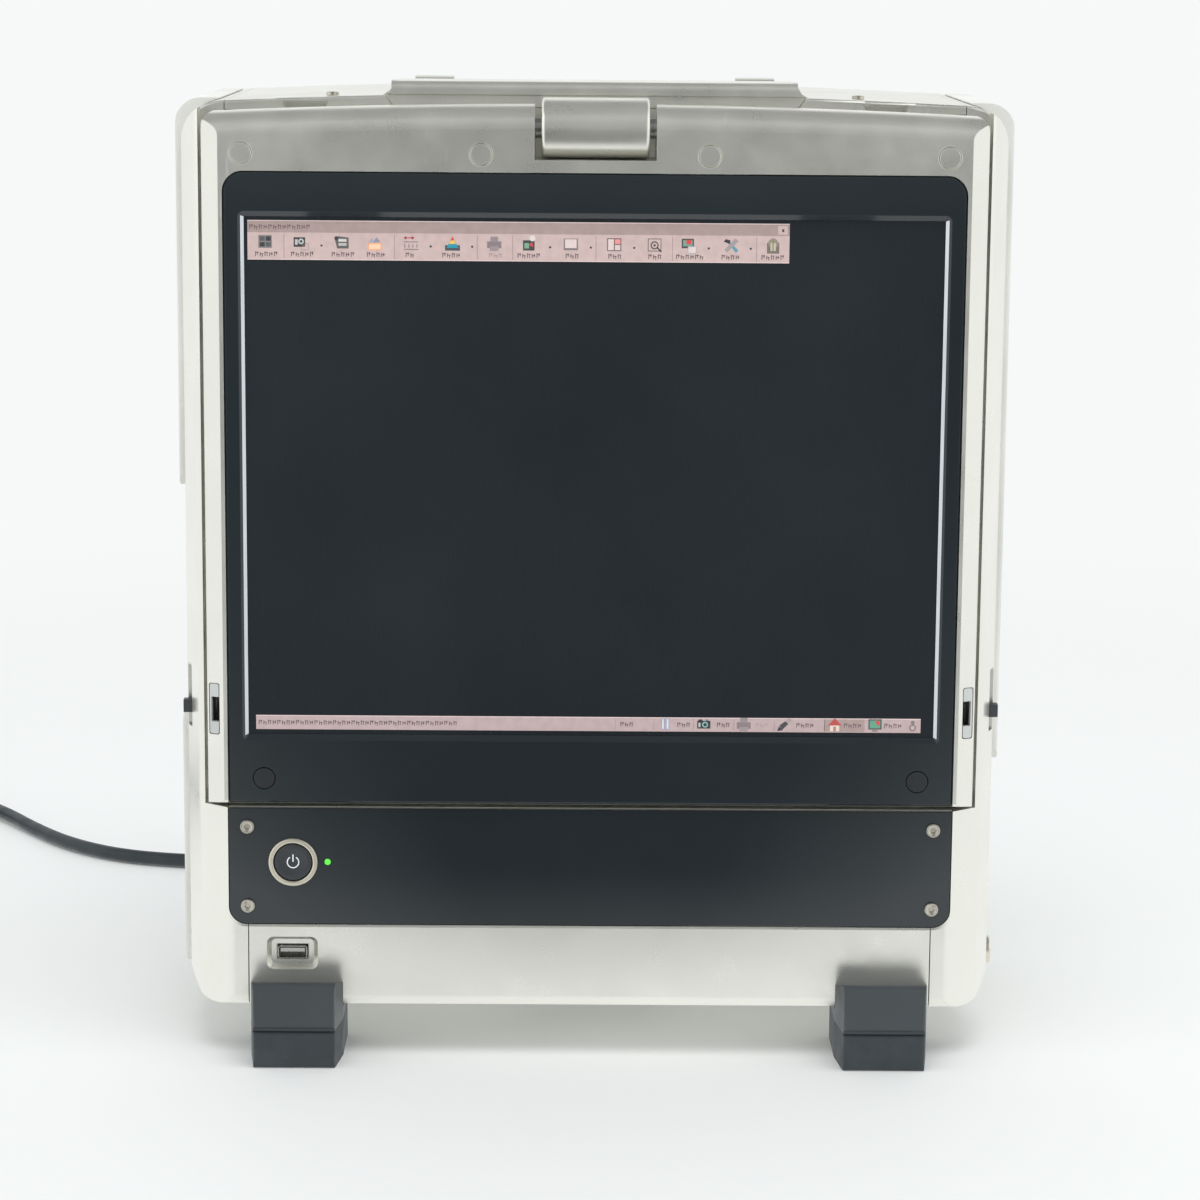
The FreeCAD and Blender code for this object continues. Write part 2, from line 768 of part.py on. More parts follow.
def screw(head_radius, length):
    """A screw with a dished head and a hexagon socket; its seat is at the origin and it points along +Y."""
    height = 1.4
    head = Part.makeCylinder(head_radius, height, V(0, -height, 0), V(0, 1, 0))
    rim = [edge for edge in head.Edges if edge.BoundBox.YMax < 0.1 - height and edge.Length > 1]
    head = head.makeFillet(0.35, rim)
    shank = Part.makeCylinder(1.5, length, V(0, 0, 0), V(0, 1, 0))
    dish = Part.makeCone(head_radius * 0.76, head_radius * 0.5, 0.4, V(0, -height, 0), V(0, 1, 0))
    corners = []
    for corner in range(6):
        turn = math.radians(60 * corner)
        corners.append((head_radius * 0.46 * math.cos(turn), head_radius * 0.46 * math.sin(turn)))
    socket = prism(corners, "xz", -height - 1, -0.1)
    return head.fuse(shank).cut(dish).cut(socket)


def fascia_screws():
    face = low_y + fascia_recess - 0.02
    screws = []
    for x, z in fascia_screw_places():
        screws.append(screw(fascia_screw_radius, 7).translate(V(x, face, z)))
    return Part.makeCompound(screws)


def casing_screws():
    """Two screws in the top casing and six in the rear cover."""
    screws = []
    for x, z in rear_screw_places():
        one = screw(2.8, 5)
        one.rotate(V(0, 0, 0), V(0, 0, 1), 180)
        screws.append(one.translate(V(x, back_y + 0.02, z)))
    x, y = screw_place()
    sag = crown_radius - math.sqrt(crown_radius ** 2 - x ** 2)
    for side in (-1, 1):
        one = screw(2.8, 5)
        one.rotate(V(0, 0, 0), V(1, 0, 0), -90)
        screws.append(one.translate(V(side * x, y, top_z - sag + 0.1)))
    return Part.makeCompound(screws)


# Power button, status light and USB socket

def power_ring():
    front = low_y + fascia_recess
    ring = rod("y", (button_x, button_z), ring_radius, front - 1.6, front - 0.02)
    sleeve = rod("y", (button_x, button_z), ring_radius - 1, front - 0.02, front + 5)
    ring = ring.fuse(sleeve).cut(rod("y", (button_x, button_z), ring_bore, -far, 0))
    rim = [edge for edge in ring.Edges if edge.BoundBox.YMax < front - 1.5]
    return ring.makeFillet(0.6, rim)


def power_button():
    """A cap with a slightly dished front that slides in the ring."""
    front = low_y + fascia_recess - 1.0
    cap = rod("y", (button_x, button_z), button_radius, front, front + 6)
    rim = [edge for edge in cap.Edges if edge.BoundBox.YMax < front + 0.1]
    cap = cap.makeFillet(0.7, rim)
    dish = Part.makeSphere(60, V(button_x, front + 0.35 - 60, button_z))
    stem = rod("y", (button_x, button_z), 3, front + 6, front + 9)
    return cap.cut(dish).fuse(stem)


def power_switch():
    """The push switch behind the button, in its holder that reaches forward to the fascia."""
    front = low_y + fascia_recess + fascia_thickness + seat
    deep = low_y + fascia_recess - 1.0 + 9 + button_travel + clearance
    body = box(button_x - 14, button_x + 14, front, deep + 9, button_z - 14, button_z + 14)
    hollow = rod("y", (button_x, button_z), ring_radius - 1 + clearance, front - 1, deep)
    return body.cut(hollow)


def status_light():
    front = low_y + fascia_recess
    lens = rod("y", (status_light_x, button_z), status_light_radius, front - 0.3, front + 6)
    rim = [edge for edge in lens.Edges if edge.BoundBox.YMax < front - 0.2]
    return lens.makeFillet(0.25, rim)


def usb_socket():
    """Metal shell with the contact tongue in the upper half of its mouth."""
    front = low_y + 1.2
    half_w = usb_shell_width / 2
    half_h = usb_shell_height / 2
    shell = prism(rectangle(usb_x - half_w, usb_x + half_w, usb_z - half_h, usb_z + half_h, 1.4), "xz",
                  front, front + usb_depth)
    mouth_w = usb_mouth_width / 2
    mouth_h = usb_mouth_height / 2
    mouth = prism(rectangle(usb_x - mouth_w, usb_x + mouth_w, usb_z - mouth_h, usb_z + mouth_h, 0.6), "xz",
                  front - 1, front + usb_depth - 1.5)
    tongue = box(usb_x - mouth_w + 0.7, usb_x + mouth_w - 0.7, front + 0.8, front + usb_depth - 1.4,
                 usb_z + mouth_h - 2.6, usb_z + mouth_h - 0.7)
    return shell.cut(mouth).fuse(tongue)


# Screen unit

def monitor_form(inset):
    """The screen unit as one solid: bevelled front sides, and a round, crowned top edge."""
    front = monitor_front_y + inset
    back = monitor_back_y - inset
    middle = (front + back) / 2
    radius = (back - front) / 2
    axis_z = pivot_z
    crown = monitor_crown_radius
    nose = Part.Face(Part.Wire([
        Part.makeLine(V(0, front, 20), V(0, front, axis_z)),
        Part.Arc(V(0, front, axis_z), V(0, middle, axis_z + radius), V(0, back, axis_z)).toShape(),
        Part.makeLine(V(0, back, axis_z), V(0, back, 20)),
        Part.makeLine(V(0, back, 20), V(0, front, 20))]))
    spread = math.degrees(monitor_width / 2 / crown) + 0.7
    nose.rotate(V(0, 0, monitor_top_z - crown), V(0, 1, 0), -spread)
    slab = nose.revolve(V(0, 0, monitor_top_z - crown), V(0, 1, 0), 2 * spread)
    low = monitor_z + inset
    side = [(front, low + monitor_foot_slant, 1.5 - inset / 2), (front, far), (back, far),
            (back, low, 3 - inset)]
    wide = monitor_width / 2 - inset
    corner_z = monitor_top_z - (monitor_width / 2) ** 2 / (2 * crown) - inset
    ends = [(-wide, 0), (wide, 0), (wide, corner_z, monitor_corner - inset), (0, corner_z + 13),
            (-wide, corner_z, monitor_corner - inset)]
    body = slab.common(prism(monitor_plan(inset), "xy", 0, far)).common(prism(side, "yz", -far, far))
    return body.common(prism(ends, "xz", -far, far))


def monitor_plan(inset):
    """The screen unit seen from above: straight sides with a shallow bevel at the front."""
    slope = monitor_bevel_width / monitor_bevel_depth
    lean = math.sqrt(1 + slope ** 2)
    run = 2.0
    wide = monitor_width / 2 - inset
    knee_y = monitor_front_y + monitor_bevel_depth + inset * (lean - 1) / slope
    tip = monitor_width / 2 - slope * (monitor_bevel_depth + run) - inset * lean
    return [(-tip, monitor_front_y - run), (tip, monitor_front_y - run), (wide, knee_y),
            (wide, monitor_back_y + run), (-wide, monitor_back_y + run), (-wide, knee_y)]


def notch(grow):
    half = notch_width / 2 + grow
    return box(-half, half, -far, 0, monitor_top_z - notch_depth - grow, far)


def panel_outline(grow):
    half = panel_width / 2 + grow
    return [(-half, panel_z - grow), (half, panel_z - grow), (half, panel_top_z + grow, panel_corner + grow),
            (-half, panel_top_z + grow, panel_corner + grow)]


def shaft_hole():
    """The hole through the walls beside the notch for the hinge shaft."""
    half = notch_width / 2 + 5
    return rod("x", (pivot_y, pivot_z), shaft_radius + clearance, -half, half)


def catch_window(grow):
    """The opening in the right bevel, drawn as a block through its wall."""
    outside = monitor_width / 2 - 0.8
    return prism(rectangle(outside - 4.8 - grow, outside + grow, latch_height - 7.2 - grow,
                           latch_height + 16.3 + grow, 1.0), "xz", -far, monitor_front_y + 5.2 + grow)


def cap_hole(x, z, front, depth):
    """A flat-bottomed hole with a chamfered rim."""
    hole = rod("y", (x, z), cap_radius + 0.1, front - 5, front + depth)
    rim = Part.makeCone(cap_radius + 0.1 + cap_hole_chamfer, cap_radius + 0.1, cap_hole_chamfer,
                        V(x, front, z), V(0, 1, 0))
    return hole.fuse(rim)


def monitor_front_shell(form, hollow):
    body = fuse([form.cut(hollow), form.common(notch(monitor_wall))])
    body = body.cut(notch(0)).common(box(-far, far, -far, split_y, 0, far)).cut(shaft_hole())
    body = body.cut(prism(panel_outline(clearance), "xz", -far, monitor_front_y + monitor_wall + 0.5))
    for side in (-1, 1):
        for x in top_cap_x:
            body = body.cut(cap_hole(side * x, monitor_top_z - top_cap_drop, monitor_front_y, 1.6))
    window = catch_window(0)
    return body.cut(window).cut(mirror(window))


def monitor_back_cover(form, hollow):
    body = fuse([form.cut(hollow), form.common(notch(monitor_wall))])
    body = body.cut(notch(0)).common(box(-far, far, split_y + seam, 0, 0, far)).cut(shaft_hole())
    half = tongue_thickness / 2 + 1.2
    slot = box(tongue_x - half, tongue_x + half, monitor_back_y - 8, 0,
               latch_height - tongue_height / 2 - 2, latch_height + tongue_height / 2 + latch_travel + 2)
    return body.cut(slot).cut(mirror(slot))


def monitor_panel():
    """Glossy black panel with the bevelled window in front of the display."""
    front = monitor_front_y + 0.1
    plate = prism(panel_outline(0), "xz", front, front + panel_thickness)
    rim = [edge for edge in plate.Edges if edge.BoundBox.YMax < front + 0.01]
    plate = plate.makeChamfer(panel_chamfer, rim)
    half_w = display_width / 2 + display_reveal
    half_h = display_height / 2 + display_reveal
    wide = half_w + display_bevel
    high = half_h + display_bevel
    mouth = outline(rectangle(-wide, wide, display_z - high, display_z + high, 2.5), "xz", front - 0.01)
    throat = outline(rectangle(-half_w, half_w, display_z - half_h, display_z + half_h, 0.5), "xz",
                     front + panel_thickness + 0.01)
    plate = plate.cut(Part.makeLoft([mouth.OuterWire, throat.OuterWire], True))
    for side in (-1, 1):
        plate = plate.cut(cap_hole(side * low_cap_x, monitor_z + low_cap_rise, front, 1.5))
    return plate


def caps(places, front, thickness):
    discs = []
    for x, z in places:
        disc = rod("y", (x, z), cap_radius, front, front + thickness)
        rim = [edge for edge in disc.Edges if edge.BoundBox.YMax < front + 0.1]
        discs.append(disc.makeFillet(0.3, rim))
    return Part.makeCompound(discs)


def display_panel():
    """The display module, its front face just behind the glossy panel."""
    half_w = display_width / 2 + display_margin_x
    half_h = display_height / 2 + display_margin_z
    return box(-half_w, half_w, display_y, display_y + display_depth, display_z - half_h, display_z + half_h)


def display_board():
    """Driver board on the back of the display, with its taller components."""
    start = display_y + display_depth + seat
    half = display_width * 0.23
    face = start + board_thickness
    board = box(-half, half, start, face, display_z - 40, display_z + 30)
    chips = [box(x, x + 18, face, face + 2, display_z - 10, display_z + 12) for x in (-50.0, -12.0, 26.0)]
    return fuse([board] + chips)


def catch_plate(form):
    """The insert in a bevel's window, with the gap beside it that the latch is seen through, on the right."""
    block = form.cut(monitor_form(monitor_wall)).common(catch_window(-clearance))
    edge = monitor_width / 2 - 1.9
    hole = box(0, edge, -far, far, latch_height - 1.4, latch_height + 10)
    return block.cut(hole)


def hinge_knuckle():
    """The block in the screen unit's top that holds one end of the shaft, on the right."""
    start = notch_width / 2 + monitor_wall + clearance
    end = shaft_half
    radius = nose_radius - monitor_wall - clearance
    low = pivot_z - knuckle_height
    plate = box(start, end, pivot_y - radius, pivot_y + radius, low, pivot_z)
    round_end = rod("x", (pivot_y, pivot_z), radius, start, end)
    foot = box(start, end + knuckle_foot, pivot_y - radius, pivot_y + radius, low, low + 8)
    body = fuse([plate, round_end, foot])
    return body.cut(rod("x", (pivot_y, pivot_z), shaft_radius + running_gap, 0, far))


def hinge_shaft():
    return rod("x", (pivot_y, pivot_z), shaft_radius, -shaft_half, shaft_half)


def hinge_barrel():
    """Barrel that the shaft turns in, cast in one piece with the arm that carries it."""
    half = barrel_width / 2
    barrel = rod("x", (pivot_y, pivot_z), barrel_radius, -half, half)
    rims = [edge for edge in barrel.Edges if edge.BoundBox.XLength < 0.1]
    barrel = barrel.makeFillet(1.5, rims)
    arm = box(-half + 3, half - 3, pivot_y, inner_up_y + 14, pivot_z - 10.8, pivot_z - 1.3)
    arm = arm.cut(box(-far, far, inner_up_y, far, pivot_z - 10.8, pivot_z - 10.6))
    return barrel.fuse(arm).cut(rod("x", (pivot_y, pivot_z), shaft_radius + running_gap, -far, far))


# Handle

def handle():
    """Grip bar along the front edge, with two arms that run back to their pivots."""
    half = grip_width / 2
    front = up_y - grip_proud
    lip = inner_up_y + 0.7
    back = front + grip_depth
    top = top_z + grip_rise
    crease = top_z - 0.8
    under = well_floor_z + 3.5
    profile = [(up_y, grip_low_z), (up_y, crease - 0.3), (front, crease, 0.3), (front, top - 0.4, 3.5),
               (back, top, 5), (back, under, 3), (lip, under, 2), (lip, grip_low_z)]
    bar = prism(profile, "yz", -half, half)
    bar = bar.common(prism(grip_ends(0, grip_low_z), "xz", -far, far))
    bar = bar.fuse(prism(profile, "yz", -half + 8, half - 8)).removeSplitter()
    low = handle_z - 4.5
    high = handle_z + 4.5
    pieces = [bar]
    for side in (-1, 1):
        x0 = side * arm_x - arm_width / 2
        x1 = side * arm_x + arm_width / 2
        pieces.append(box(x0, x1, back - 6, handle_y, low, high))
        pieces.append(rod("x", (handle_y, handle_z), arm_end_radius, x0, x1))
    body = fuse(pieces)
    return body.cut(rod("x", (handle_y, handle_z), pin_radius + running_gap, -far, far))


def handle_pins():
    start = arm_x - arm_width / 2 - clearance - 5.5
    return both_sides(rod("x", (handle_y, handle_z), pin_radius, start, well_width / 2 - 0.4))


# Latches

def latch_slider(side):
    """Knob, slide plate and tongue of a latch in one piece."""
    inside = slide_x - slide_thickness
    z = latch_height
    plate = box(inside, slide_x, slide_y, slide_y + slide_width, z - 14, z + 19)
    knob = prism(rectangle(latch_y - knob_width / 2, latch_y + knob_width / 2, z - knob_height / 2,
                           z + knob_height / 2, 1), "yz", slide_x - 0.5, half_width + knob_reach)
    low = z - tongue_height / 2
    high = z + tongue_height / 2
    web = box(tongue_x - tongue_thickness / 2, slide_x, slide_y, slide_y + 2.5, low, high)
    tongue = box(tongue_x - tongue_thickness / 2, tongue_x + tongue_thickness / 2, monitor_back_y - 4.2,
                 slide_y + 2.5, low, high)
    shelf = box(spring_x - spring_radius - 1, slide_x, latch_y - 4, latch_y + 4, z + 17, z + 19)
    return sided(fuse([plate, knob, web, tongue, shelf]), side)


def latch_spring(side):
    """Coil spring between the slider's shelf and the rib above it."""
    low = latch_height + 19 + seat
    high = rib_stop_z - seat
    wire = spring_wire / 2
    helix = Part.makeHelix((high - low - spring_wire) / spring_turns, high - low - spring_wire,
                           spring_radius - wire)
    corner = [V(spring_radius - wire + wire * a, 0, wire * b) for a, b in ((-1, -1), (1, -1), (1, 1), (-1, 1))]
    section = Part.makePolygon(corner + [corner[0]])
    coil = Part.Wire(helix.Edges).makePipeShell([section], True, True)
    coil.translate(V(spring_x, latch_y, low + wire))
    return sided(coil, side)


# Feet

def front_foot_plan(side_x, start, end):
    half = front_foot_width / 2
    front = low_y - foot_reach
    tip = half - foot_taper
    back = low_y + foot_back
    return prism([(side_x - tip, front, foot_corner), (side_x + tip, front, foot_corner),
                  (side_x + half, low_y), (side_x + half, back), (side_x - half, back),
                  (side_x - half, low_y)], "xy", start, end)


def front_feet():
    """Hard blocks that grip the cabinet's bottom edge from the front."""
    front = low_y - foot_reach
    low = pad_height + seat
    profile = [(front + groove_depth, low), (front + groove_depth, low + groove_height),
               (front, low + groove_height, 1.6), (front + 0.8, foot_rise, 3.5),
               (low_y - seat, foot_rise - foot_slope), (low_y - seat, floor_z - seat),
               (low_y + foot_back, floor_z - seat), (low_y + foot_back, low)]
    body = prism(profile, "yz", -far, far)
    return Part.makeCompound([body.common(front_foot_plan(side * front_foot_x, low, foot_rise + 1))
                              for side in (-1, 1)])


def foot_pads():
    front = low_y - foot_reach
    profile = [(front + 1.4, 0, 1.5), (front, 5, 4), (front, pad_height, pad_round),
               (low_y + foot_back, pad_height), (low_y + foot_back, 0)]
    body = prism(profile, "yz", -far, far)
    return Part.makeCompound([body.common(front_foot_plan(side * front_foot_x, 0, pad_height))
                              for side in (-1, 1)])


def rear_feet():
    half = front_foot_width / 2
    end = back_y - rear_foot_inset
    feet = []
    for side in (-1, 1):
        x = side * front_foot_x
        foot = prism(rectangle(x - half, x + half, end - rear_foot_depth, end, 6), "xy", 0, floor_z - seat)
        rim = [edge for edge in foot.Edges if edge.BoundBox.ZMax < 0.1]
        feet.append(foot.makeChamfer(1.5, rim))
    return Part.makeCompound(feet)


# Inside the cabinet

def chassis():
    """Bent sheet tray with two tall uprights, which everything inside is fixed to."""
    x = upright_x
    front = inner_up_y + clearance
    back = inner_back_y - seat
    flange_low = floor_z + 8
    tray = box(-x, x, front, back - 4, chassis_z, chassis_z + sheet)
    upright = box(x - sheet, x, front, back - 4, chassis_z, upright_top_z)
    upright = upright.fuse(box(x - sheet, x, back - 5, back, flange_low, upright_top_z))
    upright = upright.fuse(box(x - 11, x, back - sheet, back, flange_low, upright_top_z))
    for place in rear_screw_places():
        upright = upright.cut(rod("y", place, 1.6, back - 5, far))
    window = prism(rectangle(front + 25, back - 25, floor_z + 215, upright_top_z - 45, 12), "yz", 0, far)
    upright = upright.cut(window)
    holes = rod("x", (port_y, port_z), port_radius + 1, 0, far)
    holes = holes.fuse(rod("x", (camera_port_y, camera_port_z), camera_port_radius + 1, 0, far))
    return fuse([tray, upright.cut(holes), mirror(upright)])


def cross_members():
    """The beams that carry the hinge arm and the handle's well, as open channels."""
    half = upright_x - sheet - seat
    front = inner_up_y + 8.2 + seat
    hinge_top = pivot_z - 10.6 - seat
    hinge = box(-half, half, front, front + 18, hinge_top - 14, hinge_top)
    hinge = hinge.cut(box(-far, far, front + sheet, front + 18 - sheet, hinge_top - 20, hinge_top - sheet))
    top = well_floor_z - wall - seat
    start = handle_y - 14
    carry = box(-half, half, start, start + 26, top - 12, top)
    carry = carry.cut(box(-far, far, start + sheet, start + 26 - sheet, top - 20, top - sheet))
    return Part.makeCompound([hinge, carry])


def card_tray():
    """Upright sheet between the chassis sides, with standoffs for the boards on both faces."""
    half = upright_x - sheet - seat
    low = floor_z + card_tray_rise
    high = top_z - card_tray_drop
    plate = box(-half, half, card_y, card_y + sheet, low, high)
    for x, z in main_board_corners():
        plate = plate.fuse(rod("y", (x, z), 3, card_y - standoff, card_y + 0.1))
    for x, z in camera_board_corners():
        plate = plate.fuse(rod("y", (x, z), 3, card_y + sheet - 0.1, card_y + sheet + standoff))
    return plate.removeSplitter()


def main_board_place():
    return main_board_inset - upright_x, floor_z + main_board_rise


def main_board_corners():
    x, z = main_board_place()
    reach = main_board_size - 20
    return [(a, b) for a in (x + 8, x + reach) for b in (z + 6, z + reach + 2)]


def camera_board_place():
    return main_board_inset - upright_x + 8, floor_z + camera_board_rise


def camera_board_corners():
    x, z = camera_board_place()
    return [(a, b) for a in (x + 8, x + camera_board_width - 8) for b in (z + 8, z + camera_board_height - 8)]


def main_board():
    """Computer board with its heat sink, memory and sockets."""
    back = card_y - standoff - seat
    front = back - board_thickness
    left, low = main_board_place()
    parts = [box(left, left + main_board_size, front, back, low, low + main_board_size)]
    for fin in range(8):
        x = left + 76 + 8.0 * fin
        parts.append(box(x, x + 2.5, front - 24, front - 3, low + 110, low + 170))
    parts.append(box(left + 74, left + 138, front - 4, front, low + 108, low + 172))
    for slot in range(2):
        x = left + 176 + 12.0 * slot
        parts.append(box(x, x + 4, front - 30, front, low + 60, low + 195))
    return fuse(parts)


def camera_board():
    """Image board on the rear face of the card tray."""
    front = card_y + sheet + standoff + seat
    left, low = camera_board_place()
    face = front + board_thickness
    parts = [box(left, left + camera_board_width, front, face, low, low + camera_board_height)]
    for column in range(3):
        x = left + 28 + 40.0 * column
        parts.append(box(x, x + 24, face, face + 3, low + 50, low + 74))
    return fuse(parts)


def hard_drive():
    """Drive beside the power supply, with a step along its top for the lid."""
    y = inner_up_y + 6.5
    z = tray_top_z + seat
    top = z + drive_height
    body = box(drive_x, drive_x + drive_width, y, y + drive_depth, z, top)
    step = box(drive_x - 1, drive_x + 28, y + 2, y + drive_depth - 2, top - 5, top + 4)
    return body.cut(step)


def power_supply():
    """Sheet box behind the mains inlet."""
    y = inner_back_y - 28
    z = tray_top_z + seat
    return box(supply_x, supply_x + supply_width, y - supply_depth, y, z, z + supply_height)


def lamp_house():
    """Lamp housing with cooling fins and the boss that the light-guide port plugs into."""
    z = tray_top_z + seat
    front = inner_up_y + 2
    parts = [box(lamp_x, lamp_x + lamp_width, front, front + lamp_depth, z, z + lamp_height)]
    for fin in range(5):
        x = lamp_x + 2 + 7.9 * fin
        parts.append(box(x, x + 2.5, front + 2, front + lamp_depth - 2, z + lamp_height, z + lamp_height + 12))
    return fuse(parts)


def light_guide_port():
    """Collar on the right side that the light guide pushes into."""
    start = upright_x - sheet
    end = half_width + 2.8
    collar = rod("x", (port_y, port_z), port_radius, start, end)
    rim = [edge for edge in collar.Edges if edge.BoundBox.XMin > end - 0.1]
    collar = collar.makeFillet(0.8, rim)
    return collar.cut(rod("x", (port_y, port_z), port_bore, start + 6, far))


def camera_socket():
    """Round multi-pole socket for the camera lead."""
    start = upright_x - sheet
    end = half_width + 1.6
    place = (camera_port_y, camera_port_z)
    body = rod("x", place, camera_port_radius, start, end)
    body = body.cut(rod("x", place, camera_port_radius - 2.5, end - 10, far))
    core = rod("x", place, camera_port_radius - 2.6, end - 10.1, end - 5.6)
    for pin in range(6):
        turn = math.radians(60 * pin)
        y = camera_port_y + 5.5 * math.cos(turn)
        z = camera_port_z + 5.5 * math.sin(turn)
        core = core.cut(rod("x", (y, z), 0.9, end - 9, far))
    return body.fuse(core).removeSplitter()


def fan_frame():
    """Square fan housing with a round throat and four struts that hold the motor."""
    half = fan_size / 2
    back = inner_back_y - seat
    front = back - fan_depth
    frame = prism(rectangle(fan_x - half, fan_x + half, fan_z - half, fan_z + half, 4), "xz", front, back)
    frame = frame.cut(rod("y", (fan_x, fan_z), half - 1.5, 0, far))
    mount = rod("y", (fan_x, fan_z), fan_hub_radius - 1, front, front + 3)
    for turn in range(2):
        strut = box(fan_x - half + 1, fan_x + half - 1, front, front + 3, fan_z - 2, fan_z + 2)
        strut.rotate(V(fan_x, 0, fan_z), V(0, 1, 0), 45 + 90 * turn)
        mount = mount.fuse(strut.common(rod("y", (fan_x, fan_z), half - 1.2, 0, far)))
    return frame.fuse(mount).removeSplitter()


def fan_rotor():
    """Hub with swept blades, turning on the motor mount."""
    front = inner_back_y - seat - fan_depth + 3 + clearance
    back = inner_back_y - 3
    hub = rod("y", (fan_x, fan_z), fan_hub_radius, front, back)
    parts = [hub]
    reach = fan_size / 2 - 3
    for blade in range(fan_blades):
        root = box(fan_x + fan_hub_radius - 2, fan_x + reach, front + 7, front + 8.6, fan_z - 9, fan_z + 9)
        root.rotate(V(fan_x, front + 7.8, fan_z), V(1, 0, 0), 32)
        root.rotate(V(fan_x, 0, fan_z), V(0, 1, 0), 360.0 / fan_blades * blade)
        parts.append(root)
    return fuse(parts).common(rod("y", (fan_x, fan_z), reach, front, back))


def fan_guard():
    """Finger guard of rings and spokes, set into the rear cover's opening."""
    start = inner_back_y + 0.2
    end = back_y - 0.2
    outer = fan_size / 2 - 1.5 - clearance
    parts = []
    radius = outer
    while radius > 8:
        ring = rod("y", (fan_x, fan_z), radius, start, end)
        parts.append(ring.cut(rod("y", (fan_x, fan_z), radius - 1.6, 0, far)))
        radius -= 7.4
    for turn in range(2):
        spoke = box(fan_x - outer + 0.5, fan_x + outer - 0.5, start + 0.3, end - 0.3, fan_z - 1, fan_z + 1)
        spoke.rotate(V(fan_x, 0, fan_z), V(0, 1, 0), 90 * turn)
        parts.append(spoke)
    return fuse(parts)


def rear_connectors():
    """Sockets behind the rear cover: stacked USB, network, video and serial, on one bracket."""
    front = inner_back_y - 14
    parts = []
    left = connector_inset - half_width
    z = floor_z + connector_rise
    for (x0, x1, z0, z1), kind in zip(connector_holes(), ("usb", "network", "video", "serial")):
        block = box(x0 + clearance, x1 - clearance, front, back_y - 0.3, z0 + clearance, z1 - clearance)
        middle = (x0 + x1) / 2
        if kind == "usb":
            for level in (z0 + 1.5, z0 + 9):
                block = block.cut(box(middle - 6.2, middle + 6.2, back_y - 10, far, level, level + 5))
                block = block.fuse(box(middle - 5.5, middle + 5.5, back_y - 10.1, back_y - 1.2, level + 2.8,
                                       level + 4.2))
        if kind == "network":
            block = block.cut(box(middle - 5.9, middle + 5.9, back_y - 11, far, z0 + 2.2, z0 + 10.4))
        if kind in ("video", "serial"):
            block = block.cut(box(x0 + 5, x1 - 5, back_y - 5, far, z0 + 2, z1 - 2))
            block = block.fuse(box(x0 + 7, x1 - 7, back_y - 5.1, back_y - 1, z0 + 3.6, z1 - 3.6))
        parts.append(block)
    parts.append(box(left - 4, left + 133, front - 2, front + 0.1, z - 4, z + 20))
    return fuse(parts)


def mains_inlet():
    """Three-pin inlet with its flange against the rear cover from inside."""
    x0, x1, y0, y1, z0, z1 = inlet_hole(0)
    body = box(x0, x1, inner_back_y - 20, back_y + 0.2, z0, z1)
    flange = box(x0 - 10, x1 + 10, inner_back_y - seat - 2, inner_back_y - seat, z0 - 1, z1 + 1)
    cavity = prism([(inlet_x - 12.2, inlet_z - 8), (inlet_x + 12.2, inlet_z - 8), (inlet_x + 12.2, inlet_z + 4),
                    (inlet_x + 8, inlet_z + 8), (inlet_x - 8, inlet_z + 8), (inlet_x - 12.2, inlet_z + 4)],
                   "xz", inner_back_y - 17, far)
    pins = [box(x - 1, x + 1, inner_back_y - 17.1, inner_back_y - 3, inlet_z + dz - 2, inlet_z + dz + 2)
            for x, dz in ((inlet_x - 7, -1), (inlet_x + 7, -1), (inlet_x, 3))]
    return fuse([body, flange]).cut(cavity).fuse(fuse(pins))


def rocker_frame():
    """Frame of the mains switch, open for the rocker."""
    x0, x1, y0, y1, z0, z1 = rocker_hole(0)
    body = box(x0, x1, inner_back_y - 16, back_y + 0.2, z0, z1)
    flange = box(x0 - 3, x1 + 3, inner_back_y - seat - 2, inner_back_y - seat, z0 - 3, z1 + 3)
    hollow = box(x0 + 1.5, x1 - 1.5, inner_back_y - 12, far, z0 + 1.5, z1 - 1.5)
    body = fuse([body, flange]).cut(hollow)
    pin = rod("x", (rocker_pivot_y(), inlet_z), 1.2, x0 + 0.5, x1 - 0.5)
    return body.fuse(pin)


def rocker_pivot_y():
    return back_y - 5.0


def mains_rocker():
    """The rocker, tilted 10 degrees to its on side."""
    x0, x1, y0, y1, z0, z1 = rocker_hole(0)
    half = (z1 - z0) / 2 - 1.9
    y = rocker_pivot_y()
    profile = [(y - 4, inlet_z - 3), (y + 4.4, inlet_z - half, 1), (y + 3.6, inlet_z),
               (y + 4.4, inlet_z + half, 1), (y - 4, inlet_z + 3)]
    body = prism(profile, "yz", x0 + 1.8, x1 - 1.8)
    body = body.cut(rod("x", (y, inlet_z), 1.2 + running_gap, -far, far))
    body.rotate(V(0, y, inlet_z), V(1, 0, 0), 8)
    return body


# Mains lead

def cord_route():
    """Centre line of the lead from the connector's strain relief to the coil, chosen by hand."""
    exit_y = back_y + 56
    return [V(inlet_x, exit_y, inlet_z - 1),
            V(inlet_x, exit_y + 25, inlet_z - 1),
            V(-115, 206, 47),
            V(-127, 232, 25),
            V(-149, 250, 9),
            V(-182, 258.5, 3.9),
            V(-222, 262.5, 3.9),
            V(-258, 273, 3.9),
            V(-290, 299, 3.9),
            V(-316, 336, 3.9),
            coil_start()[0] - coil_start()[2] * 30]


def coil_start():
    """Where the lead meets the coil: a straight stub runs from here to the coil's outer turn."""
    centre = V(coil_centre[0], coil_centre[1], coil_level())
    turn = math.radians(36.9)
    out = V(math.cos(turn), math.sin(turn), 0)
    along = V(-math.sin(turn), math.cos(turn), 0)
    touch = centre + out * coil_outer_turn
    return touch - along * lead_stub, touch, along


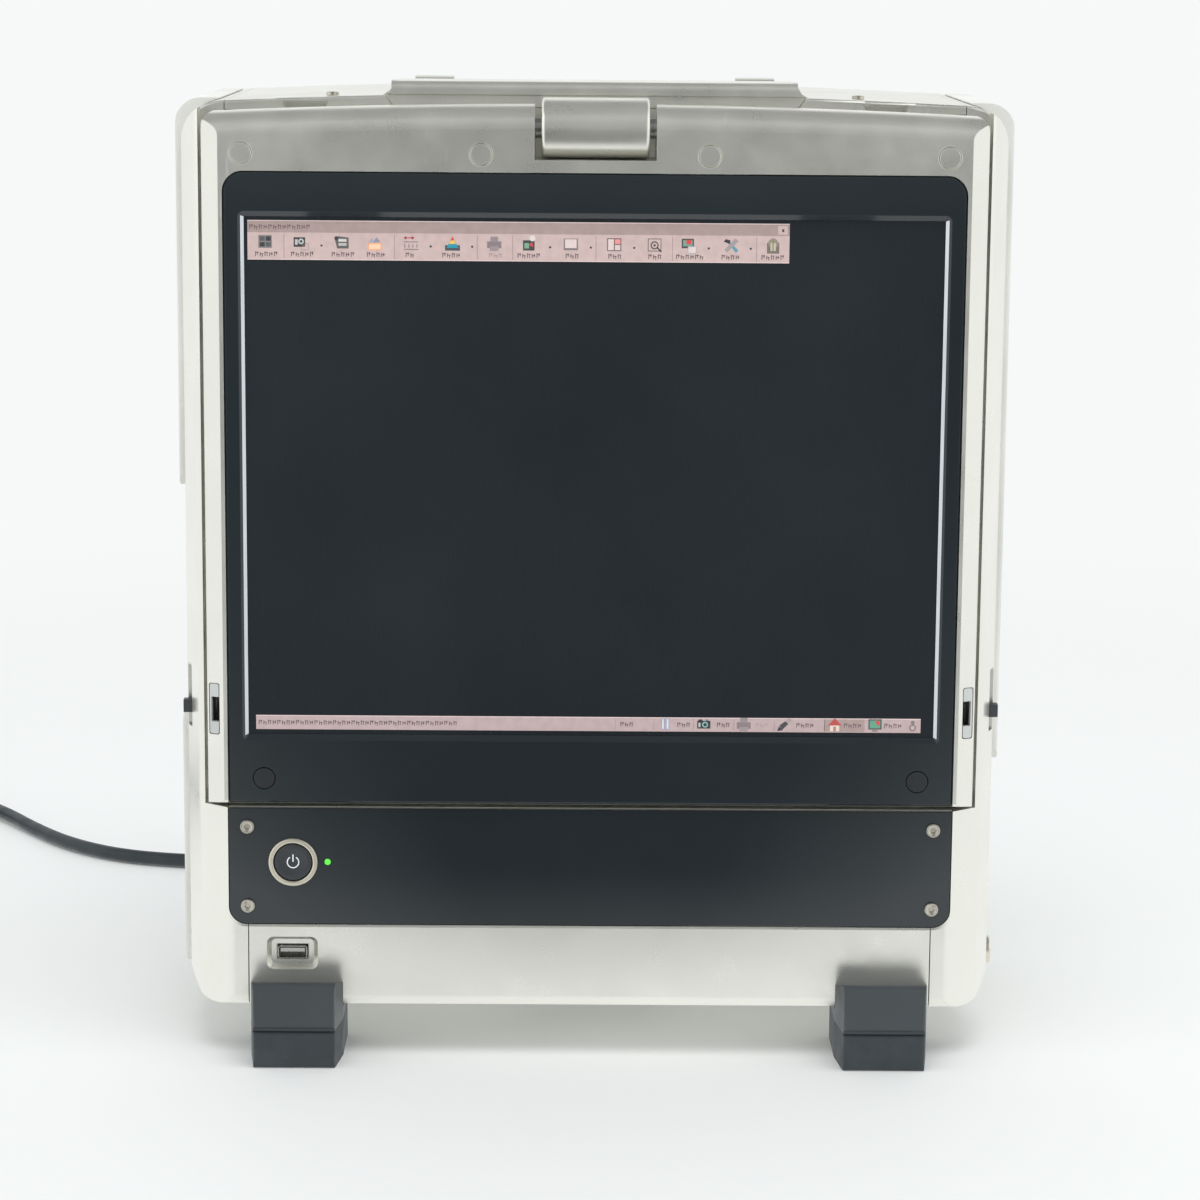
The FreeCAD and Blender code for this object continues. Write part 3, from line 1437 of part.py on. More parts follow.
def coil_level():
    return tie_thickness + 0.2 + cord_diameter / 2


def tail_route():
    """From the coil's upper layer down to the floor and into the mains plug."""
    x = coil_centre[0] - 47.4
    y = coil_centre[1]
    high = coil_level() + cord_diameter
    return [V(x, y - tail_stub, high), V(x, y - 50, high), V(x + 1, y - 76, 7), V(x - 1, y - 96, 6.6),
            V(x, y - 118, 9.2)]


def rounded_path(points, name):
    """Straight runs joined by tangent arcs as large as the runs allow."""
    edges = []
    radii = []
    start = points[0]
    for before, corner, after in zip(points, points[1:], points[2:]):
        a = (before - corner).normalize()
        b = (after - corner).normalize()
        turn = math.pi - a.getAngle(b)
        shorter = min((before - corner).Length, (after - corner).Length)
        reach = 0.45 * shorter
        radius = reach / math.tan(turn / 2)
        radii.append(round(radius))
        first = corner + a * reach
        last = corner + b * reach
        depth = radius / math.cos(turn / 2) - radius
        middle = corner + (a + b).normalize() * depth
        edges.append(Part.makeLine(start, first))
        edges.append(Part.Arc(first, middle, last).toShape())
        start = last
    edges.append(Part.makeLine(start, points[-1]))
    print(name, "bend radii", radii)
    return Part.Wire(edges)


def tube(points, name):
    path = rounded_path(points, name)
    way = (points[1] - points[0]).normalize()
    section = Part.Wire(Part.makeCircle(cord_diameter / 2, points[0], way))
    solid = path.makePipeShell([section], True, False)
    expected = math.pi * cord_diameter ** 2 / 4 * path.Length
    print(name, "length", round(path.Length), "volume ratio", round(solid.Volume / expected, 4))
    return solid


def cord_tube():
    start, touch, along = coil_start()
    lead = tube(cord_route() + [start], "lead")
    tail = tube(tail_route(), "tail")
    return Part.makeCompound([lead, tail])


def cord_coil():
    """The wound part of the lead as one closed ring, with the stubs that lead in and out of it."""
    radius = cord_diameter / 2
    low = tie_thickness + 0.2
    high = low + 2 * cord_diameter
    inner = coil_inner_turn - radius
    outer = coil_outer_turn + radius
    section = outline([(inner, low, 3), (outer, low, 3), (outer, high, 3), (inner, high, 3)], "xz")
    ring = section.revolve(V(0, 0, 0), V(0, 0, 1), 360)
    ring.translate(V(coil_centre[0], coil_centre[1], 0))
    start, touch, along = coil_start()
    stub = Part.makeCylinder(radius, lead_stub, start, along)
    first = tail_route()[0]
    out = Part.makeCylinder(radius, tail_stub, first, V(0, 1, 0))
    return ring.fuse(stub).fuse(out)


def cord_tie():
    """A strap round the coil's bundle, on its far side."""
    radius = cord_diameter / 2
    low = 0.0
    high = tie_thickness + 0.2 + 2 * cord_diameter + 0.2 + tie_thickness
    inner = coil_inner_turn - radius - 0.7 - tie_thickness
    outer = coil_outer_turn + radius + 0.2 + tie_thickness
    y = coil_centre[1]
    x = coil_centre[0]
    band = box(x + inner, x + outer, y - tie_width / 2, y + tie_width / 2, low, high)
    hole = box(x + inner + tie_thickness, x + outer - tie_thickness, y - far, y + far, low + tie_thickness,
               high - tie_thickness)
    band = band.cut(hole)
    band.rotate(V(x, y, 0), V(0, 0, 1), 100)
    return band


def relief(start, end, wide, narrow):
    """Tapered strain relief between two points."""
    way = end - start
    return Part.makeCone(wide, narrow, way.Length, start, way)


def power_connector():
    """Moulded connector in the inlet, with its strain relief in one piece."""
    gap = 0.4
    nose = prism([(inlet_x - 12.2 + gap, inlet_z - 8 + gap), (inlet_x + 12.2 - gap, inlet_z - 8 + gap),
                  (inlet_x + 12.2 - gap, inlet_z + 4 - gap / 2), (inlet_x + 8 - gap / 2, inlet_z + 8 - gap),
                  (inlet_x - 8 + gap / 2, inlet_z + 8 - gap), (inlet_x - 12.2 + gap, inlet_z + 4 - gap / 2)],
                 "xz", inner_back_y - 16, back_y + 2)
    for x, dz in ((inlet_x - 7, -1), (inlet_x + 7, -1), (inlet_x, 3)):
        nose = nose.cut(box(x - 1.3, x + 1.3, 0, inner_back_y - 2.5, inlet_z + dz - 2.3, inlet_z + dz + 2.3))
    grip = prism(rectangle(inlet_x - 13, inlet_x + 13, inlet_z - 9.5, inlet_z + 9.5, 4), "xz", back_y + 1.5,
                 back_y + 27)
    neck = relief(V(inlet_x, back_y + 26.5, inlet_z - 1), V(inlet_x, back_y + 56, inlet_z - 1), 7.4, 4.6)
    return fuse([nose, grip, neck])


def mains_plug():
    """Moulded two-blade plug with an earth pin, lying flat beside the coil."""
    end = tail_route()[-1]
    way = (tail_route()[-1] - tail_route()[-2]).normalize()
    neck = relief(end, end + way * 28, 4.6, 7.2)
    x = end.x
    y = end.y - 26
    z = 10.2
    body = prism(rectangle(x - 13, x + 13, z - 9, z + 9, 5), "xz", y - 28, y)
    rim = [edge for edge in body.Edges if edge.BoundBox.YLength < 0.1]
    body = body.makeFillet(2.0, rim)
    blades = [box(x - 7.1, x - 5.6, y - 44, y - 27, z - 3.2, z + 3.2),
              box(x + 5.6, x + 7.1, y - 44, y - 27, z - 3.2, z + 3.2),
              rod("y", (x, z + 0.0), 2.3, y - 47, y - 27)]
    return fuse([body, neck] + blades)


def build():
    os.makedirs("parts", exist_ok=True)
    form = cabinet_form(0)
    inner = cabinet_form(wall)
    shell = form.cut(inner)
    screen = monitor_form(0)
    screen_hollow = monitor_form(monitor_wall)
    nodes = {
        "side_casing_left": side_casing(shell, inner, -1),
        "side_casing_right": side_casing(shell, inner, 1),
        "top_casing": top_casing(shell, form),
        "front_bulkhead": front_bulkhead(shell),
        "bottom_front_panel": bottom_front_panel(shell),
        "base_plate": base_plate(shell),
        "rear_cover": rear_cover(),
        "fascia": fascia(),
        "fascia_screws": fascia_screws(),
        "casing_screws": casing_screws(),
        "power_ring": power_ring(),
        "power_button": power_button(),
        "power_switch": power_switch(),
        "status_light": status_light(),
        "usb_socket": usb_socket(),
        "monitor_front_shell": monitor_front_shell(screen, screen_hollow),
        "monitor_back_cover": monitor_back_cover(screen, screen_hollow),
        "monitor_panel": monitor_panel(),
        "display_panel": display_panel(),
        "display_board": display_board(),
        "catch_plates": both_sides(catch_plate(screen)),
        "silver_caps": caps([(side * x, monitor_top_z - top_cap_drop) for side in (-1, 1) for x in top_cap_x],
                            monitor_front_y - 0.1, 1.5),
        "black_caps": caps([(side * low_cap_x, monitor_z + low_cap_rise) for side in (-1, 1)],
                           monitor_front_y, 1.4),
        "hinge_knuckles": both_sides(hinge_knuckle()),
        "hinge_shaft": hinge_shaft(),
        "hinge_barrel": hinge_barrel(),
        "handle": handle(),
        "handle_pins": handle_pins(),
        "latch_slider_left": latch_slider(-1),
        "latch_slider_right": latch_slider(1),
        "latch_spring_left": latch_spring(-1),
        "latch_spring_right": latch_spring(1),
        "front_feet": front_feet(),
        "foot_pads": foot_pads(),
        "rear_feet": rear_feet(),
        "chassis": chassis(),
        "cross_members": cross_members(),
        "card_tray": card_tray(),
        "main_board": main_board(),
        "camera_board": camera_board(),
        "hard_drive": hard_drive(),
        "power_supply": power_supply(),
        "lamp_house": lamp_house(),
        "light_guide_port": light_guide_port(),
        "camera_socket": camera_socket(),
        "fan_frame": fan_frame(),
        "fan_rotor": fan_rotor(),
        "fan_guard": fan_guard(),
        "rear_connectors": rear_connectors(),
        "mains_inlet": mains_inlet(),
        "rocker_frame": rocker_frame(),
        "mains_rocker": mains_rocker(),
        "cord_tube": cord_tube(),
        "cord_coil": cord_coil(),
        "cord_tie": cord_tie(),
        "power_connector": power_connector(),
        "mains_plug": mains_plug(),
    }
    for name, (side, low, high) in cover_spans.items():
        if name == "lower_side_cover_left":
            cover = vented(side_cover(low, high), low, high)
        else:
            cover = wrapped_cover(low, high)
        nodes[name] = sided(cover, side)
    for name, shape in nodes.items():
        save(name, shape)


build()
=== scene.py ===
import math

import bmesh
import bpy
from mathutils import Matrix, Vector


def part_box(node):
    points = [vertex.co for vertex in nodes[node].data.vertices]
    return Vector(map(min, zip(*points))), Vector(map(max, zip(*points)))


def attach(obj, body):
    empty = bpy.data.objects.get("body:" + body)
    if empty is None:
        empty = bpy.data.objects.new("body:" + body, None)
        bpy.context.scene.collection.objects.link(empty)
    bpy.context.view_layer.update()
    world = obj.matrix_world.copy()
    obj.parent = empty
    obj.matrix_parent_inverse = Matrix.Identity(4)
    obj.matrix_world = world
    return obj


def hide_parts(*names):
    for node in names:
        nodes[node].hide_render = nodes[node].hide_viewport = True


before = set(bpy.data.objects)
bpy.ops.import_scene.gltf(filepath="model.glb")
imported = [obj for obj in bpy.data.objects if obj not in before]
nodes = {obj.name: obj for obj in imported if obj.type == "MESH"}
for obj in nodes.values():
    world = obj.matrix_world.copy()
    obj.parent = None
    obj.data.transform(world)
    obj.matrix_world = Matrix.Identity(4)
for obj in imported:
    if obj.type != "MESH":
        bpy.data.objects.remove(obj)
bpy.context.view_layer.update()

MM = 0.001

# Camera: where the photograph was taken from, and how its frame was filled
CAMERA_PLACE = (-9.8 * MM, -1626.5 * MM, 493.2 * MM)
CAMERA_YAW = math.radians(0.49)
CAMERA_PITCH = math.radians(10.26)
CAMERA_ROLL = math.radians(0.46)
CAMERA_LENS = 105.94
SENSOR = 36.0

# Surroundings. The camera sees a pale backdrop. The object mirrors a dim room straight ahead, a dim zenith
# and white all round; an edge is the two values between which one blends into the next.
BACKDROP = (247, 249, 249)
AMBIENT = 0.80
ROOM_EDGE = (0.89, 0.985)
ROOM_RISE = (0.25, 0.75)
ROOM_LEVELS = (0.26, 0.36)
ZENITH_EDGE = (0.66, 0.88)
ZENITH_LEVEL = 0.20
ROUND_LEVEL = 1.0

# Floor, in metres: half its width, where it fades into the backdrop, and where its mirror image dims
FLOOR_HALF = 6.0
FLOOR_FADE = (0.32, 1.4)
FLOOR_TONES = ((243, 245, 244), (246, 247, 247))
FLOOR_MIRRORED = (248, 250, 250)
TABLE_END = (-0.40, -0.18)
TABLE_LEVEL = 0.09

# Lamps: place, width and height, power, and whether the object mirrors them
LAMP_TARGET = (0, 0, 0.25)
LAMPS = {
    "key": ((0.2, -0.7, 2.4), (1.8, 1.4), 22, False),
    "left": ((-2.2, -0.3, 1.1), (1.4, 1.6), 3, True),
    "right": ((2.2, -0.3, 1.1), (1.4, 1.6), 3, True),
}

# Display and the bevel of the window in front of it, in millimetres
SCREEN_WIDTH = 304.8
SCREEN_HEIGHT = 228.6
REVEAL = 1.5
BEVEL = 2.6

# Bright strip on each upright bevel, a painted highlight: where it starts and ends, as shares of the bevel's
# depth, and in millimetres how far it stands off and how thick it is
EDGE_FROM = 0.40
EDGE_TO = 0.95
EDGE_LIFT = 0.05
EDGE_THICKNESS = 0.04

# Sign on the power button, in millimetres: its arc, the arc's gap on each side of the top, and its bar
SIGN_SUNK = 0.30
SIGN_THICKNESS = 0.06
SIGN_INNER = 2.35
SIGN_OUTER = 2.85
SIGN_GAP = math.radians(32)
SIGN_BAR_HALF = 0.27
SIGN_BAR_LOW = 0.2
SIGN_BAR_HIGH = 3.7

# Mains lead, the same route as the solids, in millimetres
CORD_DIAMETER = 7.4
EXIT = (-110.0, 151.0, 64.0)
LEAD = [
    EXIT,
    (-110.0, 176.0, 64.0),
    (-115.0, 206.0, 47.0),
    (-127.0, 232.0, 25.0),
    (-149.0, 250.0, 9.0),
    (-182.0, 258.5, 3.9),
    (-222.0, 262.5, 3.9),
    (-258.0, 273.0, 3.9),
    (-290.0, 299.0, 3.9),
    (-316.0, 336.0, 3.9),
]
COIL_CENTRE = (-410.4, 379.2)
COIL_OUTER = 51.8
COIL_INNER = 29.6
COIL_LOW = 4.7
COIL_START = math.radians(36.9)
LOWER_TURNS = 3.0
UPPER_TURNS = 2.3975
POINTS_PER_TURN = 16
COIL_APPROACH = (61.0, 20.0)
COIL_CLIMB = 0.3
TAIL = [
    (-457.8, 342.2, 12.1),
    (-457.8, 329.2, 12.1),
    (-456.8, 303.2, 7.0),
    (-458.8, 283.2, 6.6),
    (-457.8, 261.2, 9.2),
]


# Materials

def seen(red, green, blue):
    """A colour as it looks on a screen, 0 to 255 a channel, as the shader's own numbers."""
    def channel(value):
        value = value / 255
        return value / 12.92 if value <= 0.04045 else ((value + 0.055) / 1.055) ** 2.4
    return (channel(red), channel(green), channel(blue), 1.0)


def scaled(colour, factor):
    return tuple(min(1.0, part * factor) for part in colour[:3]) + (1.0,)


class Graph:
    """Shader nodes being wired together."""

    def __init__(self, tree):
        self.tree = tree

    def node(self, kind, **settings):
        node = self.tree.nodes.new(kind)
        for key, value in settings.items():
            setattr(node, key, value)
        return node

    def wire(self, output, target):
        self.tree.links.new(output, target)

    def feed(self, value, socket):
        """A plain value is set on the socket, and a node's output is wired to it."""
        if isinstance(value, (int, float, tuple)):
            socket.default_value = value
        else:
            self.wire(value, socket)

    def math(self, operation, a, b=0.0):
        node = self.node("ShaderNodeMath", operation=operation)
        self.feed(a, node.inputs[0])
        self.feed(b, node.inputs[1])
        return node.outputs["Value"]

    def ranged(self, value, low, high, to_low, to_high, ramp="LINEAR"):
        """A value moved from one range to another, and held inside it."""
        node = self.node("ShaderNodeMapRange", interpolation_type=ramp)
        node.inputs["From Min"].default_value = low
        node.inputs["From Max"].default_value = high
        node.inputs["To Min"].default_value = to_low
        node.inputs["To Max"].default_value = to_high
        self.wire(value, node.inputs["Value"])
        return node.outputs["Result"]


class Look(Graph):
    """A material being built: a Principled shader and the textures that feed it."""

    def __init__(self, name, roughness=0.5, metallic=0.0, coat=0.0, coat_roughness=0.1, specular=0.5):
        self.material = bpy.data.materials.new(name)
        self.material.use_nodes = True
        super().__init__(self.material.node_tree)
        self.shader = self.tree.nodes["Principled BSDF"]
        self.shader.inputs["Roughness"].default_value = roughness
        self.shader.inputs["Metallic"].default_value = metallic
        self.shader.inputs["Coat Weight"].default_value = coat
        self.shader.inputs["Coat Roughness"].default_value = coat_roughness
        self.shader.inputs["Specular IOR Level"].default_value = specular
        self.place = self.node("ShaderNodeTexCoord").outputs["Object"]

    def stretched(self, scale):
        """The object's coordinates, squeezed by a factor along each axis."""
        mapping = self.node("ShaderNodeMapping")
        mapping.inputs["Scale"].default_value = scale
        self.wire(self.place, mapping.inputs["Vector"])
        return mapping.outputs["Vector"]

    def noise(self, scale, detail=2.0, rough=0.5, vector=None):
        texture = self.node("ShaderNodeTexNoise")
        texture.inputs["Scale"].default_value = scale
        texture.inputs["Detail"].default_value = detail
        texture.inputs["Roughness"].default_value = rough
        self.wire(vector or self.place, texture.inputs["Vector"])
        return texture.outputs["Fac"]

    def cells(self, scale, vector=None):
        texture = self.node("ShaderNodeTexVoronoi")
        texture.inputs["Scale"].default_value = scale
        self.wire(vector or self.place, texture.inputs["Vector"])
        return texture.outputs["Distance"]

    def mixed(self, factor, first, second):
        """Two colours mixed by a value."""
        node = self.node("ShaderNodeMix", data_type="RGBA")
        self.wire(factor, node.inputs["Factor"])
        for name, colour in (("A", first), ("B", second)):
            socket = [s for s in node.inputs if s.name == name and s.type == "RGBA"][0]
            self.feed(colour, socket)
        return [s for s in node.outputs if s.type == "RGBA"][0]

    def coloured(self, colour):
        self.feed(colour, self.shader.inputs["Base Color"])

    def glow(self, colour, strength):
        shine = self.node("ShaderNodeEmission")
        self.feed(colour, shine.inputs["Color"])
        self.feed(strength, shine.inputs["Strength"])
        return shine.outputs["Emission"]

    def blend(self, factor, first, second):
        """Two whole shaders mixed by a value."""
        mix = self.node("ShaderNodeMixShader")
        self.wire(factor, mix.inputs["Fac"])
        self.wire(first, mix.inputs[1])
        self.wire(second, mix.inputs[2])
        return mix.outputs["Shader"]

    def rough(self, value):
        self.wire(value, self.shader.inputs["Roughness"])

    def bumped(self, height, strength, distance, rounding=0.0):
        """Bump from a height, on top of edges that are rounded a little where asked."""
        bump = self.node("ShaderNodeBump")
        bump.inputs["Strength"].default_value = strength
        bump.inputs["Distance"].default_value = distance
        self.wire(height, bump.inputs["Height"])
        if rounding:
            bevel = self.node("ShaderNodeBevel", samples=4)
            bevel.inputs["Radius"].default_value = rounding
            self.wire(bevel.outputs["Normal"], bump.inputs["Normal"])
        self.wire(bump.outputs["Normal"], self.shader.inputs["Normal"])


def satin_paint(name, colour, scratched=0.0, metallic=0.85, roughness=0.32, rounding=0.3):
    """Silver paint: fine flake, slight unevenness, faint handling marks."""
    look = Look(name, roughness=roughness, metallic=metallic)
    flake = look.noise(2600, 1.0)
    cloud = look.noise(14, 3.0)
    tone = look.math("ADD", look.math("MULTIPLY", flake, 0.5), look.math("MULTIPLY", cloud, 0.5))
    tone = look.ranged(tone, 0.36, 0.64, 0.0, 1.0)
    base = look.mixed(tone, scaled(colour, 0.96), scaled(colour, 1.03))
    haze = look.ranged(look.noise(45, 4.0, 0.6), 0.35, 0.75, roughness - 0.05, roughness + 0.09)
    if scratched:
        slant = look.stretched((0.9, 1.0, 0.09))
        slant.node.inputs["Rotation"].default_value = (0.0, math.radians(38), 0.0)
        lines = look.noise(420, 1.5, 0.4, slant)
        patches = look.ranged(look.noise(22, 2.0), 0.52, 0.66, 0.0, 1.0)
        marks = look.math("MULTIPLY", look.ranged(lines, 0.69, 0.73, 0.0, scratched), patches)
        base = look.mixed(marks, base, scaled(colour, 1.35))
        haze = look.math("ADD", haze, look.math("MULTIPLY", marks, 0.2))
    look.coloured(base)
    look.rough(haze)
    peel = look.noise(420, 2.0)
    look.bumped(peel, 0.025, 0.1 * MM, rounding * MM)
    return look.material


def plain_plastic(name, colour, roughness=0.45, grain=1500, grain_depth=0.25, rounding=0.4, specular=0.5):
    """Moulded plastic with a fine spark-eroded texture."""
    look = Look(name, roughness=roughness, specular=specular)
    cloud = look.ranged(look.noise(20, 3.0), 0.3, 0.7, 0.0, 1.0)
    look.coloured(look.mixed(cloud, scaled(colour, 0.92), scaled(colour, 1.08)))
    look.rough(look.ranged(look.noise(70, 3.0), 0.3, 0.7, roughness - 0.05, roughness + 0.07))
    look.bumped(look.noise(grain, 2.0, 0.6), grain_depth, 0.08 * MM, rounding * MM)
    return look.material


def gloss_plastic(name, colour, roughness=0.07, haze=0.05, coat=0.3, specular=0.5):
    """Polished black plastic with dust-fine wipe marks."""
    look = Look(name, roughness=roughness, coat=coat, coat_roughness=0.04, specular=specular)
    cloud = look.ranged(look.noise(9, 3.0), 0.35, 0.7, 0.0, 1.0)
    look.coloured(look.mixed(cloud, colour, scaled(colour, 1.25)))
    wipe = look.noise(60, 4.0, 0.65, look.stretched((1.0, 1.0, 0.15)))
    look.rough(look.ranged(wipe, 0.35, 0.75, roughness, roughness + haze))
    look.bumped(look.noise(120, 1.0), 0.015, 0.1 * MM, 0.3 * MM)
    return look.material


def rubber(name, colour, roughness=0.62):
    look = Look(name, roughness=roughness, specular=0.35)
    dust = look.ranged(look.noise(35, 4.0, 0.7), 0.45, 0.75, 0.0, 0.6)
    look.coloured(look.mixed(dust, colour, scaled(colour, 1.7)))
    look.rough(look.ranged(look.noise(120, 3.0), 0.3, 0.7, roughness - 0.08, roughness + 0.1))
    look.bumped(look.noise(1300, 3.0, 0.6), 0.3, 0.1 * MM, 0.5 * MM)
    return look.material


def bare_metal(name, colour, roughness=0.3, stretch=(1.0, 1.0, 1.0), grain=500, rounding=0.2):
    """Metal with a drawn or turned grain."""
    look = Look(name, roughness=roughness, metallic=1.0)
    lines = look.noise(grain, 3.0, 0.6, look.stretched(stretch))
    tone = look.ranged(lines, 0.35, 0.65, 0.0, 1.0)
    look.coloured(look.mixed(tone, scaled(colour, 0.86), scaled(colour, 1.06)))
    look.rough(look.ranged(lines, 0.3, 0.7, roughness - 0.08, roughness + 0.1))
    look.bumped(lines, 0.05, 0.05 * MM, rounding * MM)
    return look.material


def spangled_steel(name, colour):
    """Zinc-plated sheet with faint spangles."""
    look = Look(name, roughness=0.38, metallic=1.0)
    grain = look.ranged(look.cells(220), 0.0, 0.7, 0.0, 1.0)
    look.coloured(look.mixed(grain, scaled(colour, 0.88), scaled(colour, 1.06)))
    look.rough(look.ranged(look.noise(90, 3.0), 0.3, 0.7, 0.3, 0.48))
    look.bumped(look.noise(400, 2.0), 0.04, 0.05 * MM, 0.2 * MM)
    return look.material


def circuit_board(name):
    """Green board with darker tracks."""
    look = Look(name, roughness=0.35, coat=0.3)
    tracks = look.ranged(look.cells(380, look.stretched((1.0, 1.0, 0.35))), 0.28, 0.34, 0.0, 1.0)
    look.coloured(look.mixed(tracks, seen(30, 92, 60), seen(18, 66, 44)))
    look.rough(look.ranged(look.noise(300, 2.0), 0.3, 0.7, 0.28, 0.45))
    look.bumped(tracks, 0.2, 0.05 * MM)
    return look.material


def lit(name, colour, strength, roughness=0.3):
    """Something that shows its own light, such as a lamp's lens or part of a picture."""
    look = Look(name, roughness=roughness)
    shade = look.ranged(look.noise(260, 1.0), 0.3, 0.7, 0.0, 1.0)
    tone = look.mixed(shade, scaled(colour, 0.93), scaled(colour, 1.03))
    look.coloured(tone)
    look.wire(tone, look.shader.inputs["Emission Color"])
    look.shader.inputs["Emission Strength"].default_value = strength
    look.bumped(look.noise(900, 1.0), 0.02, 0.05 * MM)
    return look.material


SILVER = seen(244, 243, 235)
LOOKS = {
    "silver": satin_paint("satin_silver_paint", SILVER),
    "screen_silver": satin_paint("satin_silver_marked", SILVER, scratched=0.8),
    "cap_silver": satin_paint("cap_paint", SILVER, roughness=0.3, rounding=0.25),
    "cover": plain_plastic("light_cover_plastic", seen(232, 232, 227), 0.42),
    "gloss_black": gloss_plastic("gloss_black_plastic", seen(35, 42, 46)),
    # edge: a bright metal strip laid on the upright bevels of the display's window, a painted highlight
    "edge": bare_metal("painted_edge_highlight", seen(222, 227, 232), 0.2, (30.0, 30.0, 1.0), 40, 0.05),
    "display": gloss_plastic("display_film", seen(38, 43, 48), 0.26, 0.04, 0.0, 0.2),
    "slider": plain_plastic("latch_plastic", seen(62, 65, 68), 0.45),
    "cap_black": plain_plastic("black_cap_plastic", seen(40, 44, 47), 0.28),
    "catch": plain_plastic("light_grey_plastic", seen(208, 211, 210), 0.4),
    "steel": bare_metal("turned_steel", seen(200, 200, 198), 0.25, (1.0, 0.1, 0.1)),
    "screw": bare_metal("nickel_screw", seen(205, 200, 188), 0.3, grain=900),
    "ring": satin_paint("ring_paint", seen(228, 222, 205), metallic=0.85, roughness=0.3, rounding=0.2),
    "button": plain_plastic("button_plastic", seen(58, 62, 66), 0.3, grain=2500, grain_depth=0.1),
    "led": lit("status_light_lens", seen(84, 214, 62), 0.9),
    "foot": plain_plastic("foot_plastic", seen(66, 72, 76), 0.5, grain=1100, grain_depth=0.3, rounding=0.6),
    "pad": rubber("pad_rubber", seen(60, 66, 70)),
    "sheet": spangled_steel("plated_sheet", seen(198, 201, 204)),
    "aluminium": bare_metal("mill_aluminium", seen(206, 208, 210), 0.34, (1.0, 1.0, 0.06)),
    "board": circuit_board("circuit_board"),
    "drive": bare_metal("cast_drive", seen(150, 152, 155), 0.4, grain=260),
    "black": plain_plastic("black_plastic", seen(34, 35, 36), 0.42),
    "wire": bare_metal("plated_wire", seen(205, 205, 205), 0.2, grain=300),
    "socket": bare_metal("plated_socket", seen(196, 195, 190), 0.26, grain=700),
    "cord": rubber("cord_sheath", seen(52, 58, 62), 0.42),
    "tie": plain_plastic("tie_strap", seen(38, 39, 41), 0.6, grain=800, grain_depth=0.5),
}

WEARS = {
    "silver": ["side_casing_left", "side_casing_right", "top_casing", "front_bulkhead", "bottom_front_panel",
               "base_plate", "hinge_barrel", "handle"],
    "cap_silver": ["silver_caps"],
    "slider": ["latch_slider_left", "latch_slider_right"],
    "screen_silver": ["monitor_front_shell", "monitor_back_cover"],
    "cover": ["upper_side_cover_left", "lower_side_cover_left", "side_cover_right"],
    "gloss_black": ["fascia", "monitor_panel"],
    "display": ["display_panel"],
    "cap_black": ["black_caps"],
    "catch": ["catch_plates"],
    "steel": ["hinge_shaft", "hinge_knuckles", "handle_pins", "latch_spring_left", "latch_spring_right"],
    "screw": ["fascia_screws", "casing_screws"],
    "ring": ["power_ring", "light_guide_port"],
    "button": ["power_button"],
    "led": ["status_light"],
    "foot": ["front_feet"],
    "pad": ["foot_pads", "rear_feet"],
    "sheet": ["rear_cover", "chassis", "cross_members", "power_supply"],
    "aluminium": ["card_tray", "lamp_house"],
    "board": ["main_board", "camera_board", "display_board"],
    "drive": ["hard_drive"],
    "black": ["power_switch", "fan_frame", "fan_rotor", "mains_inlet", "rocker_frame", "mains_rocker"],
    "wire": ["fan_guard"],
    "socket": ["usb_socket", "camera_socket", "rear_connectors"],
    "cord": ["power_connector", "mains_plug"],
    "tie": ["cord_tie"],
}


def dress_nodes():
    for look, names in WEARS.items():
        for name in names:
            mesh = nodes[name].data
            mesh.materials.clear()
            mesh.materials.append(LOOKS[look])


# Camera, light and floor

def add_camera():
    forward = Vector((math.sin(CAMERA_YAW) * math.cos(CAMERA_PITCH),
                      math.cos(CAMERA_YAW) * math.cos(CAMERA_PITCH), -math.sin(CAMERA_PITCH)))
    level = Vector((math.cos(CAMERA_YAW), -math.sin(CAMERA_YAW), 0))
    above = level.cross(forward)
    right = level * math.cos(CAMERA_ROLL) + above * math.sin(CAMERA_ROLL)
    up = above * math.cos(CAMERA_ROLL) - level * math.sin(CAMERA_ROLL)
    camera = bpy.data.objects.new("camera", bpy.data.cameras.new("camera"))
    turned = Matrix((right, up, -forward)).transposed().to_4x4()
    camera.matrix_world = Matrix.Translation(CAMERA_PLACE) @ turned
    camera.data.lens = CAMERA_LENS
    camera.data.sensor_width = SENSOR
    camera.data.clip_end = 50
    bpy.context.scene.collection.objects.link(camera)
    bpy.context.scene.camera = camera


def add_light(name, place, size, power, mirrored):
    lamp = bpy.data.lights.new(name, "AREA")
    lamp.shape = "RECTANGLE"
    lamp.size, lamp.size_y = size
    lamp.energy = power
    light = bpy.data.objects.new(name, lamp)
    light.visible_glossy = mirrored
    direction = Vector(LAMP_TARGET) - Vector(place)
    light.matrix_world = Matrix.Translation(place) @ direction.to_track_quat("-Z", "Y").to_matrix().to_4x4()
    bpy.context.scene.collection.objects.link(light)


class World(Graph):
    """The surroundings being built from the direction looked in."""

    def __init__(self):
        world = bpy.data.worlds.new("studio")
        world.use_nodes = True
        bpy.context.scene.world = world
        super().__init__(world.node_tree)
        self.backdrop = self.tree.nodes["Background"]
        split = self.node("ShaderNodeSeparateXYZ")
        self.wire(self.node("ShaderNodeTexCoord").outputs["Generated"], split.inputs["Vector"])
        self.x, self.y, self.z = (split.outputs[axis] for axis in "XYZ")

    def eased(self, value, edge, to_low, to_high):
        return self.ranged(value, *edge, to_low, to_high, "SMOOTHSTEP")

    def between(self, factor, first, second):
        """The first number at a factor of 0 and the second at 1."""
        return self.math("ADD", self.math("MULTIPLY", self.math("SUBTRACT", 1.0, factor), first),
                         self.math("MULTIPLY", factor, second))


